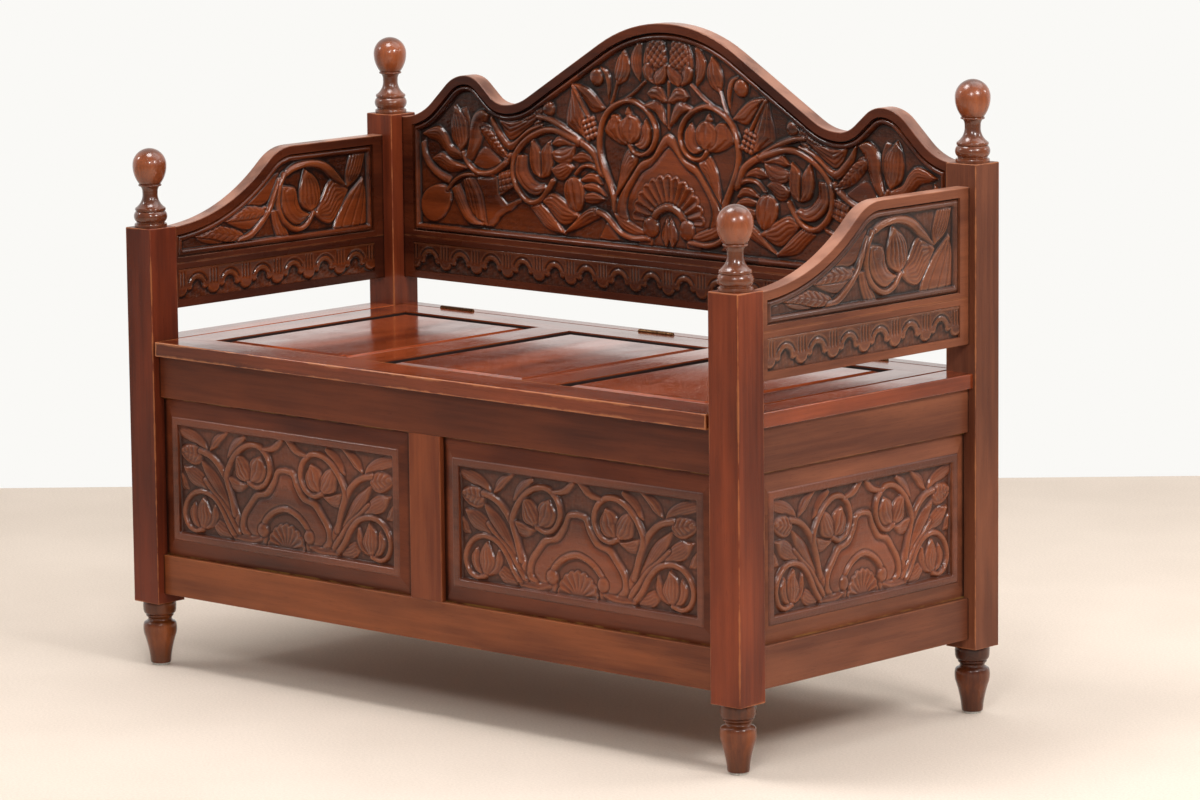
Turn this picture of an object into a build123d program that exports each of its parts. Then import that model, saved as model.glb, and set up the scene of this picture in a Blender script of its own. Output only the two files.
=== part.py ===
"""Panelled storage bench: turned posts, carved back and arm boards, and a seat lid on butt hinges.

Millimetres. The origin is on the floor at the centre of the footprint, +X runs to the right along
the front, +Y to the back and +Z up.
"""
import os
from math import atan2, copysign, cos, pi, sin

from build123d import *

# Overall size, over the outer faces of the posts
overall_width = 1170.0
overall_depth = 548.0

# Posts
post_side = 52.0
front_post_rise = 163.0     # heights called rise are above the seat
rear_post_rise = 288.0
post_ease = 1.6
post_top_ease = 1.0

# Turned feet, their glides, and turned finials
foot_height = 95.0
foot_top_radius = 24.0
foot_bulb_radius = 23.8
foot_neck_radius = 15.8
foot_toe_radius = 14.0
foot_toe_ease = 0.8
finial_height = 114.0
finial_base_radius = 23.6
finial_ball_radius = 24.5
finial_neck_radius = 11.2
spigot_radius = 8.0
finial_spigot_length = 30.0
glide_radius = 12.5
glide_thickness = 3.5
glide_nail_radius = 1.5
glide_nail_length = 16.0

# Seat box rails, muntins and panels
rail_set_back = 12.0
rail_thickness = 22.0
rail_ease = 1.3
bottom_rail_low = 109.0
bottom_rail_height = 58.0
top_rail_height = 61.0
muntin_width = 60.0
tongue_thickness = 6.0
tongue_depth = 7.0
field_recess = 2.0
bevel_side = 22.0
bevel_top = 26.0
bevel_bottom = 25.0
carved_margin = 12.0
carved_depth = 6.0

# Mortise and tenon joints
tenon_thickness = 8.0
tenon_shoulder = 9.0
tenon_wall = 3.0
stub_length = 10.0
fit_clearance = 0.15

# Box floor and the cleats that carry it
floor_thickness = 9.0
floor_gap = 1.5
cleat_width = 20.0
cleat_height = 16.0

# Seat: fixed strips at the sides and back, and the lid between them
seat_height = 481.0
seat_thickness = 21.0
seat_ease = 1.8
strip_inset = 5.0
lid_side_gap = 5.0
lid_front_rail_width = 66.0
lid_rear_rail_width = 57.0
lid_stile_width = 56.0
lid_muntin_width = 60.0
lid_field_drop = 1.2
lid_bevel = 22.0
lid_tenon_length = 30.0
lid_tenon_thickness = 7.0
hinge_rail_width = 25.0

# Butt hinges along the back of the lid
hinge_set_forward = 32.0
hinge_seam = 2.0
hinge_spacing = 400.0
hinge_row_shift = -20.0
hinge_length = 63.5
hinge_leaf_height = 17.0
hinge_leaf_thickness = 1.6
hinge_leaf_gap = 1.0
knuckle_radius = 3.0
knuckle_count = 5
knuckle_gap = 0.3
knuckle_lift = 1.0
knuckle_clearance = 0.4
pin_radius = 1.5
pin_clearance = 0.05
pin_cap_radius = 2.6
pin_cap_length = 1.2
screw_head_radius = 3.2
screw_shank_radius = 1.6
screw_length = 15.0
screw_pitch = 22.0
screw_drop = 9.86           # below the hinge axis
screw_slot_width = 0.8
screw_slot_depth = 0.6
screw_clearance = 0.1

# Arms: a carved board standing on a frieze rail
arm_inset = 11.0
arm_thickness = 22.0
arm_low_rise = 40.0
arm_rear_rise = 257.0
arm_front_drop = 4.0
arm_shoulder_y = 34.0
arm_steepness = 0.91
arm_hollow_share = 0.8
board_joint_rise = 105.0
field_low_rise = 113.0
field_band = 13.0
field_end = 20.0
arm_field_depth = 6.0
frieze_low_rise = 52.0
frieze_high_rise = 96.0
frieze_depth = 4.0
board_ease = 1.5

# Back: a crested carved board standing on a frieze rail
back_set_back = 23.0
back_thickness = 25.0
back_low_rise = 41.0
back_field_depth = 8.0
crest_peak_rise = 450.0
crest_shoulder_x = 400.0
crest_shoulder_rise = 353.0
crest_valley_x = 322.0
crest_valley_rise = 314.0
crest_end_rise = 284.0
crest_flank_steepness = 0.35
crest_peak_share = 0.74
crest_valley_steepness = 0.54
crest_valley_share = 0.5
crest_tail_steepness = 0.57
crest_shoulder_share = 0.4

# Main forms of the carving in the back's field, raised from its floor. Places are across from the
# middle of the board and up from the field's lower edge; the right half mirrors the left.
bead_inset = 4.5
bead_width = 4.0
bead_rise = 5.6
stem_width = 5.0
stem_rise = 5.0
stems = [   # where each stem starts, then by turns a place on its way and the end of that arc
    [(-113, 95), (-126, 123), (-134, 150), (-129, 183), (-106, 211), (-79, 221), (-52, 215), (-44, 211),
     (-36, 204), (-25, 187), (-24.5, 168)],
    [(-202, 164), (-235, 169), (-270, 157), (-299, 133), (-308, 102), (-296, 73), (-271, 59), (-254, 64),
     (-240, 77)],
    [(-142, 135), (-156, 147), (-168, 153)],
    [(-213, 176), (-226, 181), (-240, 185)],
    [(-322, 115), (-341, 102), (-361, 96), (-384, 97), (-404, 114)],
    [(-136, 54), (-121, 48), (-106, 35), (-90, 25), (-66, 21)],
]
rim_rise = 4.4
rims = [    # the cartouche's rim and the broad ribbon, drawn as the stems are
    [(-2, 167), (-17, 153), (-31, 138)],
    [(-42, 131), (-54, 125), (-68, 108), (-80, 92), (-88, 75)],
    [(-343, 166), (-330, 150), (-315, 140), (-307, 142), (-299, 147)],
]
arch_width = 6.0
arch_rise = 6.0
arch = [(-25, 59), (0, 71), (25, 59)]
shell_width = 20.0
shell_rise = 2.0
shell = [(-42.6, 68), (0, 95), (42.6, 68)]
petal_rise = 4.8
petals = [  # the foot, a place on one side, the tip and a place on the other side
    [(-396, 122), (-390, 158), (-368, 186), (-379, 152)],
    [(-254, 102), (-267, 120), (-265, 146), (-256, 124)],
    [(-246, 102), (-232, 120), (-235, 146), (-244, 124)],
    [(-168, 230), (-152, 228), (-130, 208), (-150, 215)],
    [(-20, 252), (-8, 259), (-5, 275), (-18, 263)],
]
leaf_rise = 3.4
leaves = [  # drawn as the petals are
    [(-486, 148), (-466, 157), (-438, 131), (-466, 143)],
    [(-466, 110), (-450, 115), (-426, 104), (-447, 100)],
    [(-414, 130), (-431, 158), (-424, 186), (-406, 158)],
    [(-396, 82), (-388, 50), (-373, 24), (-377, 56)],
    [(-354, 26), (-360, 56), (-350, 84), (-348, 52)],
    [(-326, 174), (-314, 176), (-299, 167), (-314, 161)],
    [(-291, 118), (-293, 92), (-258, 77), (-281, 96)],
    [(-246, 63), (-224, 67), (-190, 45), (-216, 46)],
    [(-258, 52), (-240, 42), (-216, 19), (-242, 34)],
    [(-186, 33), (-164, 51), (-138, 55), (-160, 42)],
    [(-190, 144), (-206, 138), (-222, 134), (-205, 126)],
    [(-224, 110), (-208, 118), (-194, 115), (-208, 104)],
    [(-186, 220), (-190, 198), (-180, 176), (-178, 198)],
    [(-96, 252), (-98, 270), (-85, 288), (-81, 268)],
    [(-56, 258), (-66, 274), (-58, 296), (-57, 276)],
    [(-8, 227), (-22, 240), (-36, 234), (-22, 227)],
    [(-8, 200), (-16, 215), (-40, 216), (-20, 207)],
    [(-96, 96), (-89, 122), (-72, 141), (-80, 116)],
    [(-53, 157), (-41, 167), (-43, 190), (-49, 174)],
    [(-30, 254), (-42, 263), (-37, 275), (-34, 263)],
]
bud_rise = 5.4
buds = [    # centre, half the length, half the width and the slant in degrees
    [(-139, 252), 9, 9, 0],
    [(-35, 40), 10, 10, 0],
    [(-235, 199), 7, 7, 0],
    [(-185, 77), 17, 13, -78],
    [(-74, 178), 17, 14, 90],
]
swell_rise = 3.8
swells = [  # low rounded forms, drawn as the buds are
    [(-468, 46), 24, 17, 34],
    [(-103, 182), 10, 9, 0],
]

# Dowels between each carved board and its frieze rail
dowel_radius = 4.0
dowel_length = 36.0
dowel_end_margin = 60.0
arm_dowel_count = 3
back_dowel_count = 7

# Planes shared by the pieces that meet on them
half_width = overall_width / 2
half_depth = overall_depth / 2
inner_x = half_width - post_side
inner_y = half_depth - post_side
rail_x = (half_width - rail_set_back - rail_thickness, half_width - rail_set_back)
rail_y = (half_depth - rail_set_back - rail_thickness, half_depth - rail_set_back)
rail_mid_x = sum(rail_x) / 2
rail_mid_y = sum(rail_y) / 2
tenon_length = rail_mid_x - inner_x - tenon_thickness / 2 - tenon_wall
foot_spigot_length = bottom_rail_low + tenon_shoulder - tenon_wall - foot_height
seat_low = seat_height - seat_thickness
seat_mid = seat_height - seat_thickness / 2
bottom_rail_z = (bottom_rail_low, bottom_rail_low + bottom_rail_height)
top_rail_z = (seat_low - top_rail_height, seat_low)
opening_z = (bottom_rail_z[1], top_rail_z[0])
front_post_top = seat_height + front_post_rise
rear_post_top = seat_height + rear_post_rise
arm_low = seat_height + arm_low_rise
arm_rear_top = seat_height + arm_rear_rise
board_joint = seat_height + board_joint_rise
field_low = seat_height + field_low_rise
frieze_z = (seat_height + frieze_low_rise, seat_height + frieze_high_rise)
back_low = seat_height + back_low_rise
crest_peak = seat_height + crest_peak_rise
crest_shoulder_top = seat_height + crest_shoulder_rise
crest_valley_top = seat_height + crest_valley_rise
crest_end_top = seat_height + crest_end_rise
hinge_y = half_depth - hinge_set_forward
hinge_z = seat_height + knuckle_lift
lid_half = inner_x - lid_side_gap
lid_y = (-half_depth, hinge_y - hinge_seam / 2)
hinge_rail_y = (hinge_y + hinge_seam / 2, hinge_y + hinge_seam / 2 + hinge_rail_width)
arm_x = (half_width - arm_inset - arm_thickness, half_width - arm_inset)
back_y = (inner_y + back_set_back, inner_y + back_set_back + back_thickness)
cleat_low = bottom_rail_low + tenon_wall
floor_low = cleat_low + cleat_height
sides = {"left": -1, "right": 1}
ends = {"front": -1, "rear": 1}


def about(middle, size):
    """The span of a size centred on a plane."""
    return (middle - size / 2, middle + size / 2)


def turned_to(side, span):
    """A span measured outwards from the middle, on the side given by its sign."""
    return tuple(sorted((side * span[0], side * span[1])))


def block(x, y, z):
    """A box over three spans."""
    place = Pos(sum(x) / 2, sum(y) / 2, sum(z) / 2)
    return place * Box(x[1] - x[0], y[1] - y[0], z[1] - z[0])


def grown(spans, clearance=fit_clearance):
    """The spans of a tongue or tenon, opened out by a clearance on every side."""
    return tuple((span[0] - clearance, span[1] + clearance) for span in spans)


def housings(tongues):
    """The mortises and grooves that take a list of tongues."""
    return [block(*grown(tongue)) for tongue in tongues]


def eased(solid, axis, radius):
    """A bar with its long arrises rounded."""
    return fillet(solid.edges().filter_by(axis), radius)


def bored(solid, holes):
    """A piece with its mortises, grooves and bores cut."""
    for hole in holes:
        solid = solid - hole
    return solid


def turned(start, steps):
    """A turning about Z: each step is a line to (r, z) or an arc through (r, z) to (r, z)."""
    edges = []
    here = start
    for step in steps:
        there = step[-2:]
        if len(step) == 4:
            edges.append(ThreePointArc(here, step[:2], there))
        else:
            edges.append(Line(here, there))
        here = there
    edges.append(Line(here, start))
    return revolve(Plane.XZ * make_face(edges), Axis.Z)


# Tongues and tenons: each is written once, added to its own piece and cut from what takes it


def long_rail_tenon(end, z):
    """The tenon bar of a front or rear rail, through both posts."""
    y = turned_to(end, about(rail_mid_y, tenon_thickness))
    reach = inner_x + tenon_length
    return ((-reach, reach), y, (z[0] + tenon_shoulder, z[1] - tenon_shoulder))


def side_rail_tenon(side, z):
    """The tenon bar of a side rail, through both posts."""
    x = turned_to(side, about(rail_mid_x, tenon_thickness))
    reach = inner_y + tenon_length
    return (x, (-reach, reach), (z[0] + tenon_shoulder, z[1] - tenon_shoulder))


def box_muntin_tenon(end):
    """The tenon bar of a front or rear muntin, through both rails."""
    x = about(0, muntin_width - 2 * tenon_shoulder)
    y = turned_to(end, about(rail_mid_y, tenon_thickness))
    return (x, y, (opening_z[0] - tenon_length, opening_z[1] + tenon_length))


def long_panel_tongue(end, side):
    """The thin plate of a front or rear panel, into posts, rails and muntin."""
    x = turned_to(side, (muntin_width / 2 - tongue_depth, inner_x + tongue_depth))
    y = turned_to(end, about(rail_mid_y, tongue_thickness))
    return (x, y, (opening_z[0] - tongue_depth, opening_z[1] + tongue_depth))


def side_panel_tongue(side):
    """The thin plate of a side panel, into posts and rails."""
    x = turned_to(side, about(rail_mid_x, tongue_thickness))
    reach = inner_y + tongue_depth
    return (x, (-reach, reach), (opening_z[0] - tongue_depth, opening_z[1] + tongue_depth))


def seat_strip_tenon(side):
    """The stub tenons of a fixed seat strip."""
    x = turned_to(side, (inner_x + tenon_shoulder, half_width - strip_inset - tenon_shoulder))
    reach = inner_y + stub_length
    return (x, (-reach, reach), about(seat_mid, tenon_thickness))


def hinge_rail_tenon():
    """The stub tenons of the hinge rail."""
    reach = inner_x + stub_length
    y = about(sum(hinge_rail_y) / 2, hinge_rail_width / 2)
    return ((-reach, reach), y, about(seat_mid, tenon_thickness))


def arm_board_tongue(side, end):
    """The end tongue of a carved arm board."""
    x = turned_to(side, about(sum(arm_x) / 2, tenon_thickness))
    y = turned_to(end, (inner_y - stub_length, inner_y + stub_length))
    top = front_post_top - arm_front_drop if end < 0 else arm_rear_top
    return (x, y, (board_joint + tenon_shoulder, top - tenon_shoulder))


def arm_frieze_tongue(side):
    """The end tongues of an arm's frieze rail."""
    x = turned_to(side, about(sum(arm_x) / 2, tenon_thickness))
    reach = inner_y + stub_length
    return (x, (-reach, reach), (arm_low + tenon_shoulder, board_joint - tenon_shoulder))


def back_tongue(z):
    """The end tongues of a back board or rail."""
    reach = inner_x + stub_length
    return ((-reach, reach), about(sum(back_y) / 2, tenon_thickness), z)


back_board_tongue = back_tongue((board_joint + tenon_shoulder, crest_end_top - 2 * tenon_shoulder))
back_frieze_tongue = back_tongue((back_low + tenon_shoulder, board_joint - tenon_shoulder))


def tongues_into_posts(side, end):
    """Every tongue and tenon that the post at one corner takes."""
    found = [seat_strip_tenon(side), arm_board_tongue(side, end), arm_frieze_tongue(side)]
    found += [long_panel_tongue(end, side), side_panel_tongue(side)]
    for z in (bottom_rail_z, top_rail_z):
        found += [long_rail_tenon(end, z), side_rail_tenon(side, z)]
    if end > 0:
        found += [hinge_rail_tenon(), back_board_tongue, back_frieze_tongue]
    return found


# Turned pieces


def post_axis(side, end):
    """The centre of the post at one corner."""
    return side * (half_width - post_side / 2), end * (half_depth - post_side / 2)


def spigot_bore(side, end, z, reach):
    """The bore in a post for the spigot of a foot or finial, up or down by its reach."""
    x, y = post_axis(side, end)
    length = abs(reach) + fit_clearance
    middle = z + (length if reach > 0 else -length) / 2
    return Pos(x, y, middle) * Cylinder(spigot_radius + fit_clearance, length)


def post(side, end):
    """A square post with eased arrises, its mortises and its two bores."""
    x, y = post_axis(side, end)
    top = front_post_top if end < 0 else rear_post_top
    body = block(about(x, post_side), about(y, post_side), (foot_height, top))
    body = fillet(body.edges().filter_by(Axis.Z), post_ease)
    body = chamfer(body.faces().sort_by(Axis.Z)[-1].edges(), post_top_ease)
    bores = [spigot_bore(side, end, foot_height, foot_spigot_length)]
    bores.append(spigot_bore(side, end, top, -finial_spigot_length))
    return bored(body, housings(tongues_into_posts(side, end)) + bores)


def finial():
    """A ball finial on a turned neck, with its spigot below."""
    h = finial_height
    base = finial_base_radius
    neck = finial_neck_radius
    ball = finial_ball_radius
    rim = 0.983 * base
    waist = 0.873 * base
    low = -finial_spigot_length
    middle = h - ball
    slant = ball * sin(pi / 4)
    steps = [(spigot_radius, low), (spigot_radius, 0), (rim, 0)]
    steps += [(base, 0.02 * h, rim, 0.044 * h), (waist, 0.055 * h), (waist, 0.066 * h)]
    steps += [(1.025 * base, 0.136 * h, waist, 0.206 * h), (0.932 * base, 0.212 * h)]
    steps += [(0.945 * base, 0.227 * h, 0.924 * base, 0.243 * h)]
    steps += [(1.196 * neck, 0.325 * h, neck, 0.44 * h), (1.08 * neck, 0.49 * h, 1.286 * neck, 0.521 * h)]
    steps += [(1.5 * neck, 0.533 * h, 1.357 * neck, 0.545 * h)]
    steps += [(0.91 * ball, 0.66 * h, ball, middle), (slant, middle + slant, 0, h)]
    return turned((0, low), steps)


def foot():
    """A peg-top foot with a torus at its head, its spigot above and a nail hole below."""
    h = foot_height
    bulb = foot_bulb_radius
    neck = foot_neck_radius
    top = foot_top_radius
    cove = 1.032 * neck
    ring = 1.234 * neck
    steps = [(foot_toe_radius - foot_toe_ease, glide_thickness)]
    steps += [(foot_toe_radius, glide_thickness + foot_toe_ease)]
    steps += [(0.87 * bulb, 0.29 * h, bulb, 0.516 * h), (0.941 * bulb, 0.63 * h, 1.171 * neck, 0.705 * h)]
    steps += [(cove, 0.726 * h), (neck, 0.752 * h, cove, 0.779 * h)]
    steps += [(ring, 0.785 * h), (1.278 * neck, 0.8 * h, ring, 0.815 * h)]
    steps += [(1.177 * neck, 0.826 * h), (top, 0.915 * h, 0.854 * top, h)]
    steps += [(spigot_radius, h), (spigot_radius, h + foot_spigot_length), (0, h + foot_spigot_length)]
    body = turned((0, glide_thickness), steps)
    nail_hole = Cylinder(glide_nail_radius + fit_clearance, 2 * (glide_nail_length + fit_clearance))
    return body - Pos(0, 0, glide_thickness) * nail_hole


def glide():
    """A flat nail-on glide with a rounded rim."""
    rim = glide_thickness / 2
    steps = [(glide_radius - rim / 2, 0), (glide_radius, rim, glide_radius - rim / 2, glide_thickness)]
    steps += [(glide_nail_radius, glide_thickness), (glide_nail_radius, glide_thickness + glide_nail_length)]
    return turned((0, 0), steps + [(0, glide_thickness + glide_nail_length)])


# Seat box


def long_rail(end, z, takes):
    """A front or rear rail with its tenons, grooved and mortised for what it takes."""
    body = eased(block((-inner_x, inner_x), turned_to(end, rail_y), z), Axis.X, rail_ease)
    return bored(body + block(*long_rail_tenon(end, z)), housings(takes))


def side_rail(side, z):
    """A side rail with its tenons, grooved for the side panel."""
    body = eased(block(turned_to(side, rail_x), (-inner_y, inner_y), z), Axis.Y, rail_ease)
    return bored(body + block(*side_rail_tenon(side, z)), housings([side_panel_tongue(side)]))


def box_muntin(end):
    """The upright between the two panels of the front or the rear."""
    body = eased(block(about(0, muntin_width), turned_to(end, rail_y), opening_z), Axis.Z, rail_ease)
    grooves = [long_panel_tongue(end, side) for side in sides.values()]
    return bored(body + block(*box_muntin_tenon(end)), housings(grooves))


def raised_panel(plane, width, low, high, bevels, rise):
    """A fielded panel on a plane at the middle of its tongue, for an opening from low to high."""
    side, bottom, top = bevels
    middle = (low + high) / 2
    plate = Box(width + 2 * tongue_depth, high - low + 2 * tongue_depth, tongue_thickness)
    root = Rectangle(width - 2 * fit_clearance, high - low - 2 * fit_clearance)
    field = Pos(0, (bottom - top) / 2) * Rectangle(width - 2 * side, high - low - bottom - top)
    fielding = loft([Pos(0, 0, tongue_thickness / 2) * root, Pos(0, 0, rise) * field])
    return plane * (Pos(0, middle) * (plate + fielding))


def carved_sinking(plane, width, low, high, bevels, rise):
    """The sunk rectangle in the field of a panel, which holds its carving."""
    side, bottom, top = bevels
    x = about(0, width - 2 * (side + carved_margin))
    y = (low + bottom + carved_margin, high - top - carved_margin)
    return plane * block(x, y, (rise - carved_depth, rise + carved_depth))


def box_panel(plane, width):
    """A carved front or side panel."""
    bevels = (bevel_side, bevel_bottom, bevel_top)
    rise = rail_thickness / 2 - field_recess
    frame = (plane, width, *opening_z, bevels, rise)
    return raised_panel(*frame) - carved_sinking(*frame)


def front_panel(side):
    """One of the two carved panels of the front."""
    span = turned_to(side, (muntin_width / 2, inner_x))
    plane = Plane((sum(span) / 2, -rail_mid_y, 0), x_dir=(1, 0, 0), z_dir=(0, -1, 0))
    return box_panel(plane, span[1] - span[0])


def side_panel(side):
    """The carved panel of one side."""
    plane = Plane((side * rail_mid_x, 0, 0), x_dir=(0, side, 0), z_dir=(side, 0, 0))
    return box_panel(plane, 2 * inner_y)


def box_floor():
    """The floor board, notched round the posts."""
    long_x = rail_x[0] - floor_gap
    long_y = rail_y[0] - floor_gap
    z = (floor_low, floor_low + floor_thickness)
    wide = block((-long_x, long_x), about(0, 2 * (inner_y - floor_gap)), z)
    deep = block(about(0, 2 * (inner_x - floor_gap)), (-long_y, long_y), z)
    return wide + deep


def floor_cleats():
    """Four strips fixed inside the bottom rails."""
    z = (cleat_low, floor_low)
    long_span = about(0, 2 * (inner_x - floor_gap))
    side_span = about(0, 2 * (rail_y[0] - cleat_width - floor_gap))
    strips = []
    for way in (-1, 1):
        strips.append(block(long_span, turned_to(way, (rail_y[0] - cleat_width, rail_y[0])), z))
        strips.append(block(turned_to(way, (rail_x[0] - cleat_width, rail_x[0])), side_span, z))
    return strips


# Seat


def seat_strip(side):
    """The fixed strip between the posts at one end of the seat."""
    x = turned_to(side, (inner_x, half_width - strip_inset))
    body = eased(block(x, (-inner_y, inner_y), (seat_low, seat_height)), Axis.Y, seat_ease)
    return body + block(*seat_strip_tenon(side))


def lid_openings():
    """The x spans of the three panels of the lid."""
    left = -lid_half + lid_stile_width
    width = (2 * -left - 2 * lid_muntin_width) / 3
    pitch = width + lid_muntin_width
    return [(left + i * pitch, left + i * pitch + width) for i in range(3)]


lid_opening_y = (lid_y[0] + lid_front_rail_width, lid_y[1] - lid_rear_rail_width)


def lid_tenon(x):
    """The tenon bar of a lid stile or muntin, through both lid rails."""
    y = (lid_opening_y[0] - lid_tenon_length, lid_opening_y[1] + lid_tenon_length)
    return ((x[0] + tenon_shoulder, x[1] - tenon_shoulder), y, about(seat_mid, lid_tenon_thickness))


def lid_panel_tongue(x):
    """The thin plate of a lid panel."""
    flat = ((x[0] - tongue_depth, x[1] + tongue_depth),)
    flat += ((lid_opening_y[0] - tongue_depth, lid_opening_y[1] + tongue_depth),)
    return flat + (about(seat_mid, tongue_thickness),)


def lid_uprights():
    """The x spans of the lid's stiles and muntins, by name."""
    panels = lid_openings()
    spans = {"lid_left_stile": (-lid_half, panels[0][0]), "lid_left_muntin": (panels[0][1], panels[1][0])}
    spans["lid_right_muntin"] = (panels[1][1], panels[2][0])
    spans["lid_right_stile"] = (panels[2][1], lid_half)
    return spans


lid_grooves = [lid_panel_tongue(x) for x in lid_openings()]
lid_mortises = [lid_tenon(x) for x in lid_uprights().values()]


def lid_rail(y, ease_end):
    """A front or rear rail of the lid, running its full length."""
    body = block((-lid_half, lid_half), y, (seat_low, seat_height))
    outer = body.edges().filter_by(Axis.X).group_by(Axis.Y)[ease_end]
    body = fillet(outer, seat_ease)
    return bored(body, housings(lid_grooves + lid_mortises))


def lid_upright(x):
    """A stile or muntin of the lid."""
    body = block(x, lid_opening_y, (seat_low, seat_height))
    return bored(body + block(*lid_tenon(x)), housings(lid_grooves))


def lid_panel(x):
    """A plain fielded panel of the lid."""
    plane = Plane((sum(x) / 2, 0, seat_mid))
    rise = seat_thickness / 2 - lid_field_drop
    return raised_panel(plane, x[1] - x[0], *lid_opening_y, (lid_bevel,) * 3, rise)


# Hinges

hinge_places = [hinge_row_shift + i * hinge_spacing for i in (-1, 0, 1)]
knuckle_pitch = hinge_length / knuckle_count


def along_hinge(radius, x):
    """A cylinder on the hinge axis over a span of x."""
    return Pos(sum(x) / 2, hinge_y, hinge_z) * Rot(0, 90, 0) * Cylinder(radius, x[1] - x[0])


def knuckle_spans(first, gap):
    """The x spans of every second knuckle of a hinge centred on zero."""
    starts = [-hinge_length / 2 + i * knuckle_pitch for i in range(first, knuckle_count, 2)]
    return [(start + gap / 2, start + knuckle_pitch - gap / 2) for start in starts]


def leaf_plate(way, clearance=0.0):
    """The flat of a leaf: way is -1 for the lid's leaf and +1 for the fixed one."""
    near = hinge_leaf_gap / 2
    y = turned_to(way, (near, near + hinge_leaf_thickness))
    spans = (about(0, hinge_length), (hinge_y + y[0], hinge_y + y[1]))
    return grown(spans + ((hinge_z - hinge_leaf_height, hinge_z),), clearance)


def screw_places(way):
    """The screws of one leaf, each turned so that its tip points into the wood."""
    face = hinge_y + way * hinge_leaf_gap / 2
    z = hinge_z - screw_drop
    return [Pos(i * screw_pitch, face, z) * Rot(-90 * way, 0, 0) for i in (-1, 0, 1)]


def screw_blank(clearance=0.0):
    """The outside of a countersunk wood screw, head at zero and tip along +Z."""
    head = screw_head_radius + clearance
    shank = screw_shank_radius + clearance
    steps = [(head, 0), (shank, screw_head_radius - screw_shank_radius), (shank, 0.75 * screw_length)]
    return turned((0, 0), steps + [(0, screw_length + clearance)])


def screw():
    """A slotted countersunk wood screw."""
    slot = Box(2 * screw_head_radius, screw_slot_width, 2 * screw_slot_depth)
    return screw_blank() - slot


def leaf(way, first, bore_clearance):
    """A leaf with its knuckles, cleared round those of the other leaf and drilled for its screws."""
    body = block(*leaf_plate(way))
    for x in knuckle_spans(1 - first, -knuckle_gap):
        body -= along_hinge(knuckle_radius + knuckle_clearance, x)
    for x in knuckle_spans(first, knuckle_gap):
        body += along_hinge(knuckle_radius, x)
    body -= along_hinge(pin_radius + bore_clearance, about(0, 2 * hinge_length))
    return bored(body, [place * screw_blank(screw_clearance) for place in screw_places(way)])


def pin():
    """A hinge pin with a button cap at each end."""
    body = along_hinge(pin_radius, about(0, hinge_length + 2 * fit_clearance))
    for way in (-1, 1):
        start = hinge_length / 2 + fit_clearance
        cap = along_hinge(pin_cap_radius, turned_to(way, (start, start + pin_cap_length)))
        body += cap
    return body


def hinge_bed(way):
    """What is cut from the wood for one leaf: its bed, the knuckles' hollow and the screw holes."""
    reach = hinge_length + 2 * (pin_cap_length + knuckle_clearance)
    bed = [block(*leaf_plate(way, fit_clearance))]
    bed.append(along_hinge(knuckle_radius + knuckle_clearance, about(0, reach)))
    return bed + [place * screw_blank(screw_clearance) for place in screw_places(way)]


def at_hinges(shapes):
    """Copies of shapes at each hinge."""
    return [Pos(x, 0, 0) * shape for x in hinge_places for shape in shapes]


def hinge_rail():
    """The fixed strip behind the lid, which carries the hinges."""
    body = block((-inner_x, inner_x), hinge_rail_y, (seat_low, seat_height))
    body = fillet(body.edges().filter_by(Axis.X).group_by(Axis.Y)[-1], seat_ease)
    return bored(body + block(*hinge_rail_tenon()), at_hinges(hinge_bed(1)))


# Arms and back


def dowel(x, y):
    """A dowel standing across the joint between a carved board and its frieze rail."""
    return Pos(x, y, board_joint) * Cylinder(dowel_radius, dowel_length)


def dowel_hole(x, y):
    """The hole for a dowel, in both pieces."""
    reach = dowel_length + 2 * fit_clearance
    return Pos(x, y, board_joint) * Cylinder(dowel_radius + fit_clearance, reach)


def row(half_length, count):
    """Dowel places spread evenly along a board, with a margin at its ends."""
    reach = half_length - dowel_end_margin
    return [reach * (2 * i / (count - 1) - 1) for i in range(count)]


arm_dowel_row = row(inner_y, arm_dowel_count)
arm_dowels_at = [(side * sum(arm_x) / 2, y) for side in sides.values() for y in arm_dowel_row]
back_dowels_at = [(x, sum(back_y) / 2) for x in row(inner_x, back_dowel_count)]


def ogee(start, end, steepness, share):
    """A reverse curve, level at both ends: an arc, a straight and an arc the other way.

    Steepness runs from 0, a plain slant, to 1, two arcs with no straight between them. Share is how
    much of the two radii the first arc takes.
    """
    run = end[0] - start[0]
    rise = end[1] - start[1]
    turn = atan2(abs(rise), abs(run)) * (1 + steepness)
    radii = (abs(run) * sin(turn) - abs(rise) * cos(turn)) / (1 - cos(turn))

    def on_arc(point, way, radius, angle):
        across = copysign(radius * sin(angle), run)
        up = copysign(radius * (1 - cos(angle)), rise)
        return (point[0] + way * across, point[1] + way * up)

    first = radii * share
    leave = on_arc(start, 1, first, turn)
    meet = on_arc(end, -1, radii - first, turn)
    edges = [ThreePointArc(start, on_arc(start, 1, first, turn / 2), leave), Line(leave, meet)]
    return edges + [ThreePointArc(meet, on_arc(end, -1, radii - first, turn / 2), end)]


def arm_outline():
    """The face of a carved arm board: level behind, then an ogee down to the front post."""
    front = (-inner_y, front_post_top - arm_front_drop)
    shoulder = (arm_shoulder_y, arm_rear_top)
    corners = [shoulder, (inner_y, arm_rear_top), (inner_y, board_joint), (-inner_y, board_joint), front]
    rim = [Line(here, there) for here, there in zip(corners, corners[1:])]
    return make_face(ogee(front, shoulder, arm_steepness, arm_hollow_share) + rim)


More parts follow.
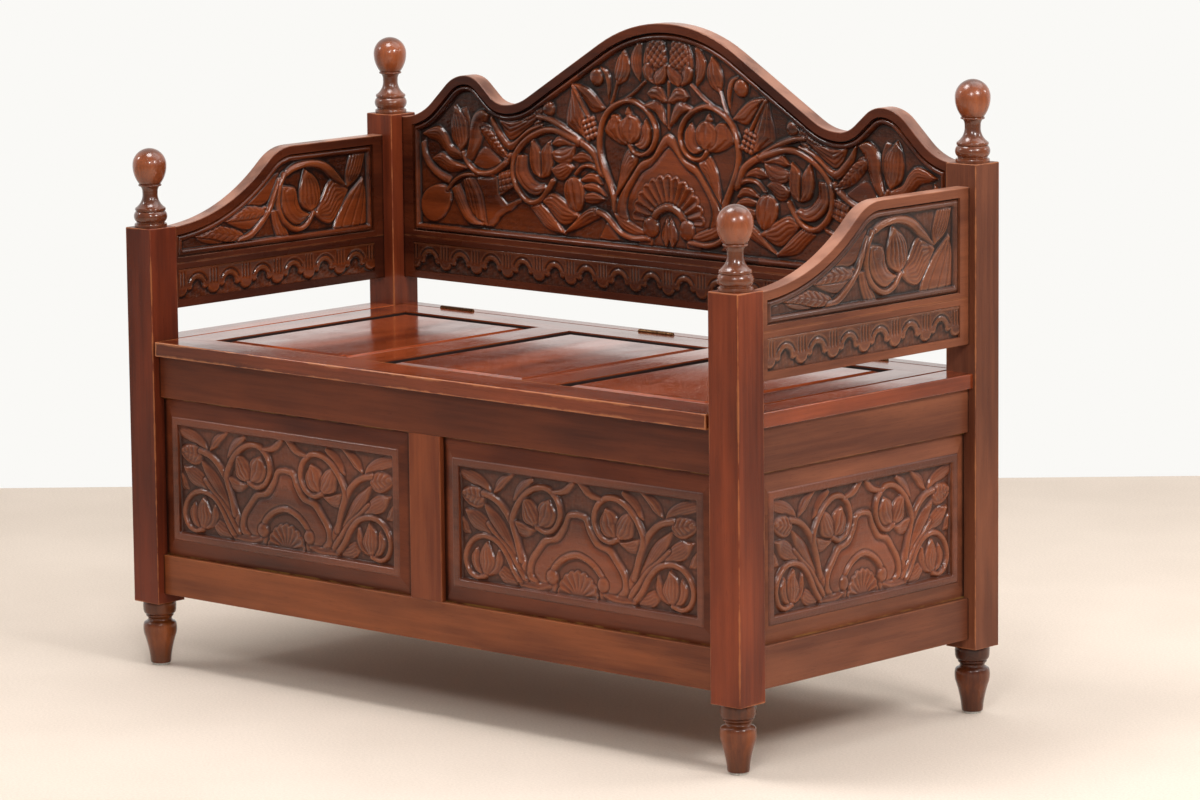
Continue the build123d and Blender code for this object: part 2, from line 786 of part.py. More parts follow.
def crest_outline():
    """The face of the back board: a peak between two shoulders, in flowing curves."""
    rim = []
    for side in sides.values():
        peak = (0, crest_peak)
        valley = (side * crest_valley_x, crest_valley_top)
        shoulder = (side * crest_shoulder_x, crest_shoulder_top)
        end = (side * inner_x, crest_end_top)
        rim += ogee(peak, valley, crest_flank_steepness, crest_peak_share)
        rim += ogee(valley, shoulder, crest_valley_steepness, crest_valley_share)
        rim += ogee(shoulder, end, crest_tail_steepness, crest_shoulder_share)
        rim.append(Line(end, (end[0], board_joint)))
    rim.append(Line((-inner_x, board_joint), (inner_x, board_joint)))
    return make_face(rim)


def top_arrises(board, through):
    """The edges along the shaped top of a board, on both faces."""
    curved = board.edges().filter_by(through, reverse=True).filter_by(Axis.Z, reverse=True)
    return curved.filter_by(lambda edge: edge.center().Z > board_joint + board_ease)


def sunk_field(outline, half_length, end_margin):
    """The part of a board's face inside its flat band, where the carving lies."""
    inner = offset(outline, amount=-field_band)
    top = crest_peak
    window = Pos(0, (field_low + top) / 2) * Rectangle(2 * (half_length - end_margin), top - field_low)
    low_strip = Pos(0, (field_low + board_joint + 2 * field_band) / 2)
    low_strip *= Rectangle(2 * (half_length - end_margin), board_joint + 2 * field_band - field_low)
    return (inner & window) + low_strip


def arm_board(side):
    """A carved arm board, sunk on both faces, with a tongue at each end."""
    near, far = turned_to(side, arm_x)
    outline = arm_outline()
    body = extrude(Plane.YZ.offset(near) * outline, far - near)
    body = fillet(top_arrises(body, Axis.X), board_ease)
    sunk = sunk_field(outline, inner_y, field_end)
    body -= extrude(Plane.YZ.offset(near) * sunk, arm_field_depth)
    body -= extrude(Plane.YZ.offset(far) * sunk, -arm_field_depth)
    for end in ends.values():
        body += block(*arm_board_tongue(side, end))
    return bored(body, [dowel_hole(*at) for at in arm_dowels_at])


def arm_frieze_rail(side):
    """The lower rail of an arm, with a sunk frieze on both faces."""
    near, far = turned_to(side, arm_x)
    body = eased(block((near, far), (-inner_y, inner_y), (arm_low, board_joint)), Axis.Y, board_ease)
    field_y = about(0, 2 * (inner_y - field_end))
    for x in ((near, near + frieze_depth), (far - frieze_depth, far)):
        body -= block(x, field_y, frieze_z)
    body += block(*arm_frieze_tongue(side))
    return bored(body, [dowel_hole(*at) for at in arm_dowels_at])


def arcs_along(places):
    """Arcs from one place to the next but one, through the place between."""
    return [ThreePointArc(*places[at:at + 3]) for at in range(0, len(places) - 2, 2)]


def oval(centre, half_length, half_width, slant):
    """A bud's outline."""
    return Pos(*centre) * Rot(0, 0, slant) * Ellipse(half_length, half_width)


def relief_outlines():
    """The left half of the carving's main forms, each with its rise from the field's floor."""
    half = [(trace(arcs_along(places), stem_width), stem_rise) for places in stems]
    half += [(trace(arcs_along(places), stem_width), rim_rise) for places in rims]
    half += [(make_face(arcs_along(places + places[:1])), petal_rise) for places in petals]
    half += [(make_face(arcs_along(places + places[:1])), leaf_rise) for places in leaves]
    half += [(oval(*bud), bud_rise) for bud in buds]
    return half + [(oval(*swell), swell_rise) for swell in swells]


def back_relief(field):
    """The main forms of the carving and the bead round it, within the sunk field."""
    floor = Plane((0, back_y[0] + back_field_depth, 0), x_dir=(1, 0, 0), z_dir=(0, -1, 0))
    shapes = relief_outlines()
    shapes += [(mirror(shape, Plane.YZ), rise) for shape, rise in shapes]
    shapes.append((trace(arcs_along(arch), arch_width), arch_rise))
    shapes.append((trace(arcs_along(shell), shell_width), shell_rise))
    bead = offset(field, amount=-bead_inset)
    within = offset(field, amount=-bead_inset - bead_width)
    forms = [extrude(floor * (bead - within), bead_rise)]
    for shape, rise in shapes:
        kept = (Pos(0, field_low) * shape) & within
        if kept:
            forms.append(extrude(floor * kept, rise))
    return forms


def back_board():
    """The crested carved board of the back, with its main forms raised in a sunk front face."""
    face = Plane((0, back_y[0], 0), x_dir=(1, 0, 0), z_dir=(0, -1, 0))
    outline = crest_outline()
    field = sunk_field(outline, inner_x, field_end)
    body = extrude(face * outline, -back_thickness)
    body = fillet(top_arrises(body, Axis.Y), board_ease)
    body -= extrude(face * field, -back_field_depth)
    body += back_relief(field)
    body += block(*back_board_tongue)
    return bored(body, [dowel_hole(*at) for at in back_dowels_at])


def back_frieze_rail():
    """The lower rail of the back, with a sunk frieze on its front face."""
    body = eased(block((-inner_x, inner_x), back_y, (back_low, board_joint)), Axis.X, board_ease)
    field_x = about(0, 2 * (inner_x - field_end))
    body -= block(field_x, (back_y[0], back_y[0] + frieze_depth), frieze_z)
    body += block(*back_frieze_tongue)
    return bored(body, [dowel_hole(*at) for at in back_dowels_at])


def box_pieces():
    """The seat box: rails, muntins, panels and floor, by name."""
    made = {}
    for end_name, end in ends.items():
        grooves = [long_panel_tongue(end, side) for side in sides.values()] + [box_muntin_tenon(end)]
        made[f"{end_name}_top_rail"] = long_rail(end, top_rail_z, grooves)
        made[f"{end_name}_bottom_rail"] = long_rail(end, bottom_rail_z, grooves)
        made[f"{end_name}_muntin"] = box_muntin(end)
    for side_name, side in sides.items():
        made[f"front_{side_name}_panel"] = front_panel(side)
        made[f"rear_{side_name}_panel"] = block(*long_panel_tongue(ends["rear"], side))
        made[f"{side_name}_side_top_rail"] = side_rail(side, top_rail_z)
        made[f"{side_name}_side_bottom_rail"] = side_rail(side, bottom_rail_z)
        made[f"{side_name}_side_panel"] = side_panel(side)
    made["box_floor"] = box_floor()
    made["floor_cleats"] = Part() + floor_cleats()
    return made


def corner_pieces():
    """The posts, with their finials, feet and glides, by name."""
    made = {}
    glides = []
    for end_name, end in ends.items():
        for side_name, side in sides.items():
            x, y = post_axis(side, end)
            top = front_post_top if end < 0 else rear_post_top
            made[f"{end_name}_{side_name}_post"] = post(side, end)
            made[f"{end_name}_{side_name}_finial"] = Pos(x, y, top) * finial()
            made[f"{end_name}_{side_name}_foot"] = Pos(x, y, 0) * foot()
            glides.append(Pos(x, y, 0) * glide())
    made["foot_glides"] = Part() + glides
    return made


def seat_pieces():
    """The fixed seat strips, the hinge rail, the lid and the hinges, by name."""
    made = {f"{name}_seat_strip": seat_strip(side) for name, side in sides.items()}
    made["hinge_rail"] = hinge_rail()
    made["lid_front_rail"] = lid_rail((lid_y[0], lid_opening_y[0]), 0)
    made["lid_rear_rail"] = bored(lid_rail((lid_opening_y[1], lid_y[1]), -1), at_hinges(hinge_bed(-1)))
    for name, x in lid_uprights().items():
        made[name] = lid_upright(x)
    for name, x in zip(("left", "center", "right"), lid_openings()):
        made[f"lid_{name}_panel"] = lid_panel(x)
    made["hinge_fixed_leaves"] = Part() + at_hinges([leaf(1, 0, fit_clearance / 5)])
    made["hinge_lid_leaves"] = Part() + at_hinges([leaf(-1, 1, pin_clearance)])
    made["hinge_pins"] = Part() + at_hinges([pin()])
    made["fixed_leaf_screws"] = Part() + at_hinges([place * screw() for place in screw_places(1)])
    made["lid_leaf_screws"] = Part() + at_hinges([place * screw() for place in screw_places(-1)])
    return made


def upper_pieces():
    """The arms and the back, by name."""
    made = {"back_board": back_board(), "back_frieze_rail": back_frieze_rail()}
    for name, side in sides.items():
        made[f"{name}_arm_board"] = arm_board(side)
        made[f"{name}_arm_frieze_rail"] = arm_frieze_rail(side)
    made["arm_dowels"] = Part() + [dowel(*at) for at in arm_dowels_at]
    made["back_dowels"] = Part() + [dowel(*at) for at in back_dowels_at]
    return made


def main():
    """Build every piece and write one file for each."""
    os.makedirs("parts", exist_ok=True)
    pieces = {**corner_pieces(), **box_pieces(), **seat_pieces(), **upper_pieces()}
    for name, shape in pieces.items():
        export_step(shape, f"parts/{name}.step")
    print(f"{len(pieces)} pieces")


main()
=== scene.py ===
from math import atan2, copysign, cos, pi, radians, sin

import bpy
import numpy as np
from mathutils import Matrix, Vector


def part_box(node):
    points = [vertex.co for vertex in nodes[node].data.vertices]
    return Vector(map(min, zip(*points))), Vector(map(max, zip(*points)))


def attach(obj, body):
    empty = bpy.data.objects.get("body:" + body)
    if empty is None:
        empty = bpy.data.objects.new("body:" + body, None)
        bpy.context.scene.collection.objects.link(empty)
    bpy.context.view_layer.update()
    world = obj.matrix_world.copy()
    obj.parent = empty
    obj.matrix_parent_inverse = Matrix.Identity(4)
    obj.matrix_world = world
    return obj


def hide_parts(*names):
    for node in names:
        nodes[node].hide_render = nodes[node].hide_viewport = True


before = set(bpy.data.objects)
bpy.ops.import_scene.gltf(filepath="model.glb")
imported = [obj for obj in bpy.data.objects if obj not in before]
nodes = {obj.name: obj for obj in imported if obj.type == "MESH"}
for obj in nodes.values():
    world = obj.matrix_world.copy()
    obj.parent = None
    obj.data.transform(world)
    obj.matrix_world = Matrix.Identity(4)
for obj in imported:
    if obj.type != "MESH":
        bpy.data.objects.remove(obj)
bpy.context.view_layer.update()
bpy.ops.object.select_all(action="DESELECT")

# The bench's carving is drawn in millimetres, and its meshes are in metres
mm = 0.001

# Sizes that the carving and the finishes follow, as the bench is made
field_band = 13.0
field_end = 20.0
field_rise = 8.0
back_field_depth = 8.0
arm_field_depth = 6.0
frieze_depth = 4.0
frieze_inset = 12.0
frieze_drop = 9.0
carved_depth = 6.0
bevel_side = 22.0
bevel_top = 26.0
bevel_bottom = 25.0
carved_margin = 12.0
tongue_depth = 7.0
lid_side_gap = 5.0
strip_stub = 10.0
moulding_width = 11.0
seat_half = 10.5
ball_height = 50.0
# How far the ends of rails and boards darken where they meet the posts
joint_dark_reach = 4.0
carved_panels = ("front_left_panel", "front_right_panel", "left_side_panel", "right_side_panel")
shaped_boards = ("back_board", "left_arm_board", "right_arm_board")
inner_pieces = ("box_floor", "floor_cleats", "arm_dowels", "back_dowels")
hinge_pieces = ("hinge_fixed_leaves", "hinge_lid_leaves", "hinge_pins", "fixed_leaf_screws",
                "lid_leaf_screws")

# Shaped tops of the boards
crest_valley = (322.0, 795.0)
crest_shoulder = (400.0, 834.0)
crest_end_top = 765.0
crest_flank = (0.35, 0.74)
crest_hollow = (0.54, 0.5)
crest_tail = (0.57, 0.4)
arm_shoulder_y = 34.0
arm_front_top = 640.0
arm_sweep = (0.91, 0.8)

# Outline of the turned feet, from the top down: radius and height above the floor
foot_collar = ((23.4, 95.0), (24.2, 91.0), (24.2, 86.0), (23.8, 81.0), (22.4, 77.2), (19.6, 75.2))
foot_ring = ((20.2, 74.4), (20.0, 72.8), (18.6, 71.4), (17.4, 69.4), (17.6, 67.2), (19.6, 65.4))
foot_bulb = ((22.2, 64.2), (23.9, 61.6), (24.6, 55.0), (23.8, 47.0), (20.9, 37.5), (18.0, 26.0), (15.9, 14.5),
             (15.0, 6.0), (14.4, 3.5))

# How the carving is drawn: the half width of the panel's design, and the pitch of the frieze's arches
panel_design_half = 217.5
arm_arch_pitch = 65.0
arm_arch_shift = 33.0
back_arch_pitch = 64.0

# How the carver cut the ground and the edges
grid_step = 1.05
row_stretch = 1.12
tuck = 2.0
ground = 0.6
lowest_cut = 0.25
cut_width = 2.4
cut_depth = 2.2
edge_soft = 0.7
bead_groove = 2.4
rim_rise = 1.8
rim_round = 2.2

# How far the glaze and painted shade in the recesses and the rubbed wear and painted highlight on the ridges
# spread, in passes of softening, and the glaze on beads and rims
recess_passes = 26
ridge_passes = 5
back_bead_glaze = 0.4
arm_bead_glaze = 0.3
panel_rim_glaze = 0.25


def span_of(node):
    """The lowest and highest corners of a piece of the frame, in millimetres."""
    low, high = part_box(node)
    return np.array(low) / mm, np.array(high) / mm


# Curves that the carving follows


def flow(points, steps=8):
    """A smooth line through a few points."""
    points = np.array(points, float)
    before = 2 * points[0] - points[1]
    after = 2 * points[-1] - points[-2]
    knots = np.vstack((before, points, after))
    t = np.linspace(0, 1, steps, endpoint=False)[:, None]
    line = []
    for a, b, c, d in zip(knots, knots[1:], knots[2:], knots[3:]):
        line.append(0.5 * (2 * b + (c - a) * t + (2 * a - 5 * b + 4 * c - d) * t**2
                           + (3 * b - a - 3 * c + d) * t**3))
    return np.vstack(line + [points[-1:]])


def ogee(start, end, shape, steps=16):
    """Points of a reverse curve that is level at both ends: an arc, a straight and an arc."""
    steepness, share = shape
    run = end[0] - start[0]
    rise = end[1] - start[1]
    turn = atan2(abs(rise), abs(run)) * (1 + steepness)
    radii = (abs(run) * sin(turn) - abs(rise) * cos(turn)) / (1 - cos(turn))
    first = radii * share
    line = []
    for angle in np.linspace(0, turn, steps):
        line.append((start[0] + copysign(first * sin(angle), run),
                     start[1] + copysign(first * (1 - cos(angle)), rise)))
    for angle in np.linspace(turn, 0, steps):
        line.append((end[0] - copysign((radii - first) * sin(angle), run),
                     end[1] - copysign((radii - first) * (1 - cos(angle)), rise)))
    return line


def crest_line():
    """The top of the back board, from its left end to its right end."""
    high = span_of("back_board")[1]
    inner_x = span_of("lid_front_rail")[1][0] + lid_side_gap
    half = ogee((0, high[2]), crest_valley, crest_flank)
    half += ogee(crest_valley, crest_shoulder, crest_hollow)
    half += ogee(crest_shoulder, (inner_x, crest_end_top), crest_tail)
    half = np.array(half)
    return np.vstack((half[::-1] * (-1, 1), half[1:]))


def arm_line():
    """The top of an arm board, from the front post to the rear post."""
    rear_top = span_of("left_arm_board")[1][2]
    inner_y = span_of("left_seat_strip")[1][1] - strip_stub
    sweep = ogee((-inner_y, arm_front_top), (arm_shoulder_y, rear_top), arm_sweep)
    return np.array(sweep + [(inner_y, rear_top)])


def smooth(share):
    """A share from 0 to 1 that starts and ends gently."""
    share = np.clip(share, 0, 1)
    return share * share * (3 - 2 * share)


# Carving


class Carving:
    """Heights over a sunk field, cut motif by motif, the later over the earlier."""

    def __init__(self, across, up):
        self.across = across.ravel()
        self.up = up.ravel()
        self.height = ground + 0.22 * gouge_marks(self.across, self.up)
        self.plain = np.zeros(len(self.across))

    def near(self, points, reach):
        """Places of the grid within reach of some points."""
        low = points.min(0) - reach
        high = points.max(0) + reach
        inside = (self.across > low[0]) & (self.across < high[0])
        return np.nonzero(inside & (self.up > low[1]) & (self.up < high[1]))[0]

    def measure(self, line, places):
        """Distance to a line, its side, and the share of its length, at each place."""
        start = line[:-1]
        step = line[1:] - start
        lengths = np.maximum(np.hypot(*step.T), 1e-6)
        away = np.stack((self.across[places], self.up[places]), 1)[:, None] - start
        along = np.clip((away * step).sum(2) / (lengths**2), 0, 1)
        off = away - along[..., None] * step
        squares = (off**2).sum(2)
        nearest = squares.argmin(1)
        rows = np.arange(len(places))
        travelled = np.concatenate(([0], np.cumsum(lengths)))[:-1]
        share = (travelled[nearest] + along[rows, nearest] * lengths[nearest]) / lengths.sum()
        to_place = away[rows, nearest]
        turn = step[nearest, 0] * to_place[:, 1] - step[nearest, 1] * to_place[:, 0]
        return np.sqrt(squares[rows, nearest]), np.sign(turn), share

    def lay(self, places, inside, height):
        """A motif over what lies under it, parted from it by a cut along its edge."""
        cut = np.clip(1 + inside / cut_width, 0, 1) * cut_depth
        under = np.maximum(self.height[places] - cut, lowest_cut)
        over = smooth(0.5 + inside / (2 * edge_soft))
        self.height[places] = under + (height - under) * over

    def stem(self, points, width, tall, taper=1.0):
        """A round stem, which may taper to its end."""
        line = flow(points)
        places = self.near(line, width)
        away, _, share = self.measure(line, places)
        radius = width / 2 * (1 + (taper - 1) * share)
        arch = np.sqrt(np.clip(1 - (away / radius) ** 2, 0, 1))
        self.lay(places, radius - away, tall * (0.35 + 0.65 * arch))

    def blade(self, left, right, tall, ribs=0, tilt=0.0, dome=0.45):
        """A leaf or petal between two edges drawn from its foot to its tip, grooved along it."""
        first = flow(left)
        second = flow(right)
        outline = np.vstack((first, second[::-1], first[:1]))
        places = self.near(outline, cut_width)
        to_first = self.measure(first, places)[0]
        to_second = self.measure(second, places)[0]
        to_edge = np.minimum(to_first, to_second)
        inside = np.where(self.enclosed(outline, places), to_edge, -to_edge)
        half = (to_first + to_second) / 2 + 0.01
        lean = (to_first - to_second) / (2 * half)
        form = tall * (1 - dome * lean**2 + tilt * lean)
        if ribs:
            spacing = 1.7 * half / ribs
            from_groove = np.abs(((lean + 0.85) / 1.7 * ribs) % 1 - 0.5) * spacing
            fade = smooth((spacing - 1.8) / 1.6) * smooth((1 - np.abs(lean)) * half / 2)
            form = form - 1.3 * np.exp(-(from_groove / 1.15) ** 2) * fade
        self.lay(places, inside, np.maximum(form, lowest_cut))

    def feather(self, points, width, tall, barbs=7, tilt=0.2, fullness=0.8):
        """A leaf with slanting grooves on both sides of its vein."""
        line = flow(points)
        places = self.near(line, width * 0.6 + cut_width)
        away, side, share = self.measure(line, places)
        swell = np.sin(pi * np.clip(share, 0.001, 0.999) ** fullness) ** 0.7
        half = np.maximum(width / 2 * swell, 0.01)
        lean = np.clip(side * away / half, -1.2, 1.2)
        form = tall * (0.55 + 0.45 * np.cos(lean * pi / 2.4) + tilt * 0.85 * lean)
        wave = np.abs((share * barbs - np.abs(lean) * 0.9) % 1 - 0.5) * 2
        form = form - 0.2 * tall * np.clip(1 - wave * 1.5, 0, 1) * smooth(np.abs(lean) * 5)
        form = form - 0.16 * tall * np.exp(-(lean * half / 1.1) ** 2)
        self.lay(places, half - away, np.maximum(form, lowest_cut))

    def ball(self, centre, radius, tall):
        """A round bud."""
        centre = np.array(centre, float)
        places = self.near(centre[None], radius + cut_width)
        away = np.hypot(self.across[places] - centre[0], self.up[places] - centre[1])
        dome = np.sqrt(np.clip(1 - (away / radius) ** 2, 0, 1))
        self.lay(places, radius - away, tall * (0.4 + 0.6 * dome))

    def egg(self, centre, long, wide, slant, tall, ribs=0):
        """An egg-shaped bud, its long axis slanted by degrees, grooved along it."""
        centre = np.array(centre, float)
        places = self.near(centre[None], long + cut_width)
        x = self.across[places] - centre[0]
        y = self.up[places] - centre[1]
        turn = radians(slant)
        along = (x * cos(turn) + y * sin(turn)) / long
        off = (y * cos(turn) - x * sin(turn)) / (wide * (1 - 0.18 * along))
        away = np.hypot(along, off)
        dome = np.sqrt(np.clip(1 - away**2, 0, 1))
        form = tall * (0.4 + 0.6 * dome)
        if ribs:
            bow = off / np.sqrt(np.clip(1 - along**2, 0.05, 1))
            wave = np.abs((bow * ribs / 2 + 0.5) % 1 - 0.5) * 2
            form = form - 0.16 * tall * np.clip(1 - wave * 1.7, 0, 1)
        self.lay(places, (1 - away) * min(long, wide), form)

    def shell(self, centre, inner, outer, flutes, tall):
        """A fluted fan with a scalloped rim, over the upper half of a round."""
        centre = np.array(centre, float)
        places = self.near(centre[None], outer + cut_width)
        x = self.across[places] - centre[0]
        y = self.up[places] - centre[1]
        away = np.hypot(x, y)
        turn = np.arctan2(y, x) / pi
        lobe = np.abs(np.sin(pi * flutes * turn))
        rim = outer * (0.92 + 0.08 * lobe**0.8)
        out = np.clip((away - inner) / (outer - inner), 0, 1)
        lip = np.exp(-(((rim - away) / 2.4) ** 2))
        form = tall * (0.5 + 0.5 * out) - 0.42 * tall * lobe**1.2 * smooth(out * 2.5) * (1 - lip)
        inside = np.minimum(rim - away, y)
        self.lay(places, inside, np.maximum(form, lowest_cut))

    def plate(self, outline, tall, round_edge=4.0):
        """A smooth raised patch inside an outline."""
        line = np.array(list(outline) + [outline[0]], float)
        places = self.near(line, cut_width)
        away, _, _ = self.measure(line, places)
        inside = np.where(self.enclosed(line, places), away, -away)
        form = tall * (0.72 + 0.28 * smooth(inside / round_edge))
        self.lay(places, inside, form)

    def hatch(self, outline, tall, pitch, slant):
        """A patch of crossed cuts that leave small squares standing."""
        line = np.array(list(outline) + [outline[0]], float)
        places = self.near(line, cut_width)
        away, _, _ = self.measure(line, places)
        inside = np.where(self.enclosed(line, places), away, -away)
        turn = radians(slant)
        form = np.full(len(places), tall, float)
        for angle in (turn, turn + pi / 2):
            wave = self.across[places] * cos(angle) + self.up[places] * sin(angle)
            wave = np.abs((wave / pitch) % 1 - 0.5) * 2
            form = form - 0.3 * tall * np.clip(1 - wave * 2.2, 0, 1)
        self.lay(places, inside, form)

    def enclosed(self, line, places):
        """Which places lie inside a closed line."""
        x = self.across[places]
        y = self.up[places]
        found = np.zeros(len(places), bool)
        for (ax, ay), (bx, by) in zip(line, line[1:]):
            crosses = (ay > y) != (by > y)
            slope = (bx - ax) / (by - ay) if by != ay else 0.0
            found ^= crosses & (x < ax + slope * (y - ay))
        return found

    def moulding(self, inward, face, width):
        """The bead that runs round the field, inside its flat band, between a groove and the ground."""
        share = np.clip((inward - bead_groove) / (width - bead_groove), 0, 1)
        bead = face * (0.3 + 0.62 * np.sin(pi * share) ** 0.6)
        bead = np.where(inward < bead_groove, face * 0.22, bead)
        beside = np.clip(1 - (inward - width) / cut_width, 0, 1) * cut_depth
        carved = np.maximum(self.height - beside, lowest_cut)
        self.height = np.where(inward < width, bead, carved)
        self.plain = np.where(inward < width, 1.0, self.plain)

    def rim(self, inward, face, width):
        """The raised border round a panel's carving, rounded over at its outer edge."""
        outward = -inward
        fall = np.clip((outward - width + rim_round) / rim_round, 0, 1)
        border = face + rim_rise - rim_round * (1 - np.sqrt(1 - fall**2))
        border = border - 1.2 * np.clip(outward - width, 0, None) - smooth(1 - outward / 1.4)
        self.height = np.where(inward < 0, border, self.height)
        self.plain = np.where(inward < 0, 1.0, self.plain)


def gouge_marks(x, y):
    """Shallow unevenness left by the gouge."""
    first = np.sin(0.31 * x + 0.17 * y) * np.sin(0.23 * y - 0.11 * x)
    return first + 0.6 * np.sin(0.71 * x - 0.37 * y) * np.sin(0.53 * y + 0.29 * x)


# What is carved on each field


def carve_back_end(c):
    """The outer end of the back, under the shoulder: leaves, an upright tulip and a broad folded leaf."""
    c.egg((-468, 640), 35, 25, 34, 5.4)
    c.blade([(-489, 734), (-486, 714), (-476, 699), (-458, 687), (-436, 680)],
            [(-498, 726), (-494, 704), (-481, 688), (-461, 675), (-440, 668)], 5.0, 4, 0.2)
    c.blade([(-495, 741), (-478, 750), (-460, 754), (-446, 745), (-433, 727), (-408, 718)],
            [(-495, 741), (-482, 735), (-466, 731), (-452, 719), (-437, 706), (-408, 708)], 6.4, 4, -0.3)
    c.blade([(-475, 704), (-461, 713), (-450, 714), (-430, 704), (-402, 698)],
            [(-475, 704), (-460, 693), (-441, 687), (-422, 688), (-402, 694)], 6.8, 4, -0.35)
    c.blade([(-414, 722), (-422, 752), (-418, 780), (-404, 786)],
            [(-414, 722), (-396, 744), (-396, 768), (-404, 786)], 3.4, 0, 0.2)
    c.blade([(-415, 720), (-431, 733), (-436, 752), (-433, 772), (-425, 789)],
            [(-413, 720), (-403, 733), (-401, 750), (-404, 768), (-425, 789)], 7.4, 5, 0.1, 0.55)
    c.blade([(-404, 712), (-396, 738), (-394, 760), (-386, 777), (-370, 784), (-355, 778)],
            [(-394, 706), (-382, 717), (-373, 737), (-366, 758), (-359, 771), (-355, 778)],
            7.2, 0, -0.25, 0.5)
    c.blade([(-390, 703), (-380, 721), (-366, 728), (-350, 721), (-328, 706)],
            [(-390, 703), (-376, 697), (-356, 695), (-341, 698), (-328, 706)], 3.6, 0, 0.1)
    c.plate([(-412, 678), (-386, 684), (-342, 688), (-338, 660), (-322, 646), (-287, 660), (-294, 651),
             (-302, 648), (-314, 638), (-325, 634), (-338, 626), (-343, 618), (-352, 611), (-388, 611),
             (-404, 640)], 4.8, 12)
    c.blade([(-407, 680), (-397, 660), (-390, 638), (-382, 614)],
            [(-388, 684), (-372, 662), (-366, 640), (-362, 614)], 5.8, 2, -0.3)
    c.blade([(-420, 671), (-409, 653), (-397, 633), (-385, 621), (-370, 616)],
            [(-435, 662), (-420, 634), (-405, 616), (-390, 611), (-370, 611)], 6.4, 4, 0.25)
    c.hatch([(-338, 692), (-312, 700), (-307, 674), (-336, 658)], 5.8, 9.0, 14)
    c.stem([(-350, 689), (-378, 687), (-404, 685), (-422, 679), (-434, 670), (-444, 660)], 8, 6.6, 0.7)
    c.stem([(-312, 720), (-322, 709), (-342, 696), (-361, 690), (-380, 690), (-394, 697), (-404, 708),
            (-409, 718)], 10, 7.8, 0.75)


def carve_back_swirl(c):
    """Between the shoulder and the big scroll: a barbed leaf, a broad ribbon and a swirling leaf."""
    c.blade([(-366, 766), (-352, 758), (-342, 740), (-322, 722)],
            [(-372, 748), (-360, 735), (-344, 722), (-318, 711)], 5.4, 0, 0.2)
    c.feather([(-372, 756), (-354, 744), (-338, 730), (-316, 716)], 21, 6.4, 8, 0.3, 0.7)
    c.blade([(-336, 773), (-316, 774), (-293, 777), (-266, 788), (-240, 799)],
            [(-336, 773), (-325, 751), (-311, 742), (-284, 758), (-262, 772), (-240, 782)], 6.2, 4, -0.25)
    c.hatch([(-300, 775), (-272, 785), (-248, 795), (-254, 786), (-276, 774)], 6.0, 5.5, 20)
    c.stem([(-262, 768), (-248, 780), (-240, 790)], 8, 5.0)
    c.ball((-235, 794), 11.5, 7.4)
    c.blade([(-353, 780), (-340, 764), (-327, 750), (-313, 740), (-297, 747), (-274, 763), (-246, 772)],
            [(-353, 780), (-347, 756), (-332, 737), (-316, 727), (-301, 733), (-284, 748), (-246, 766)],
            7.2, 0, -0.1)


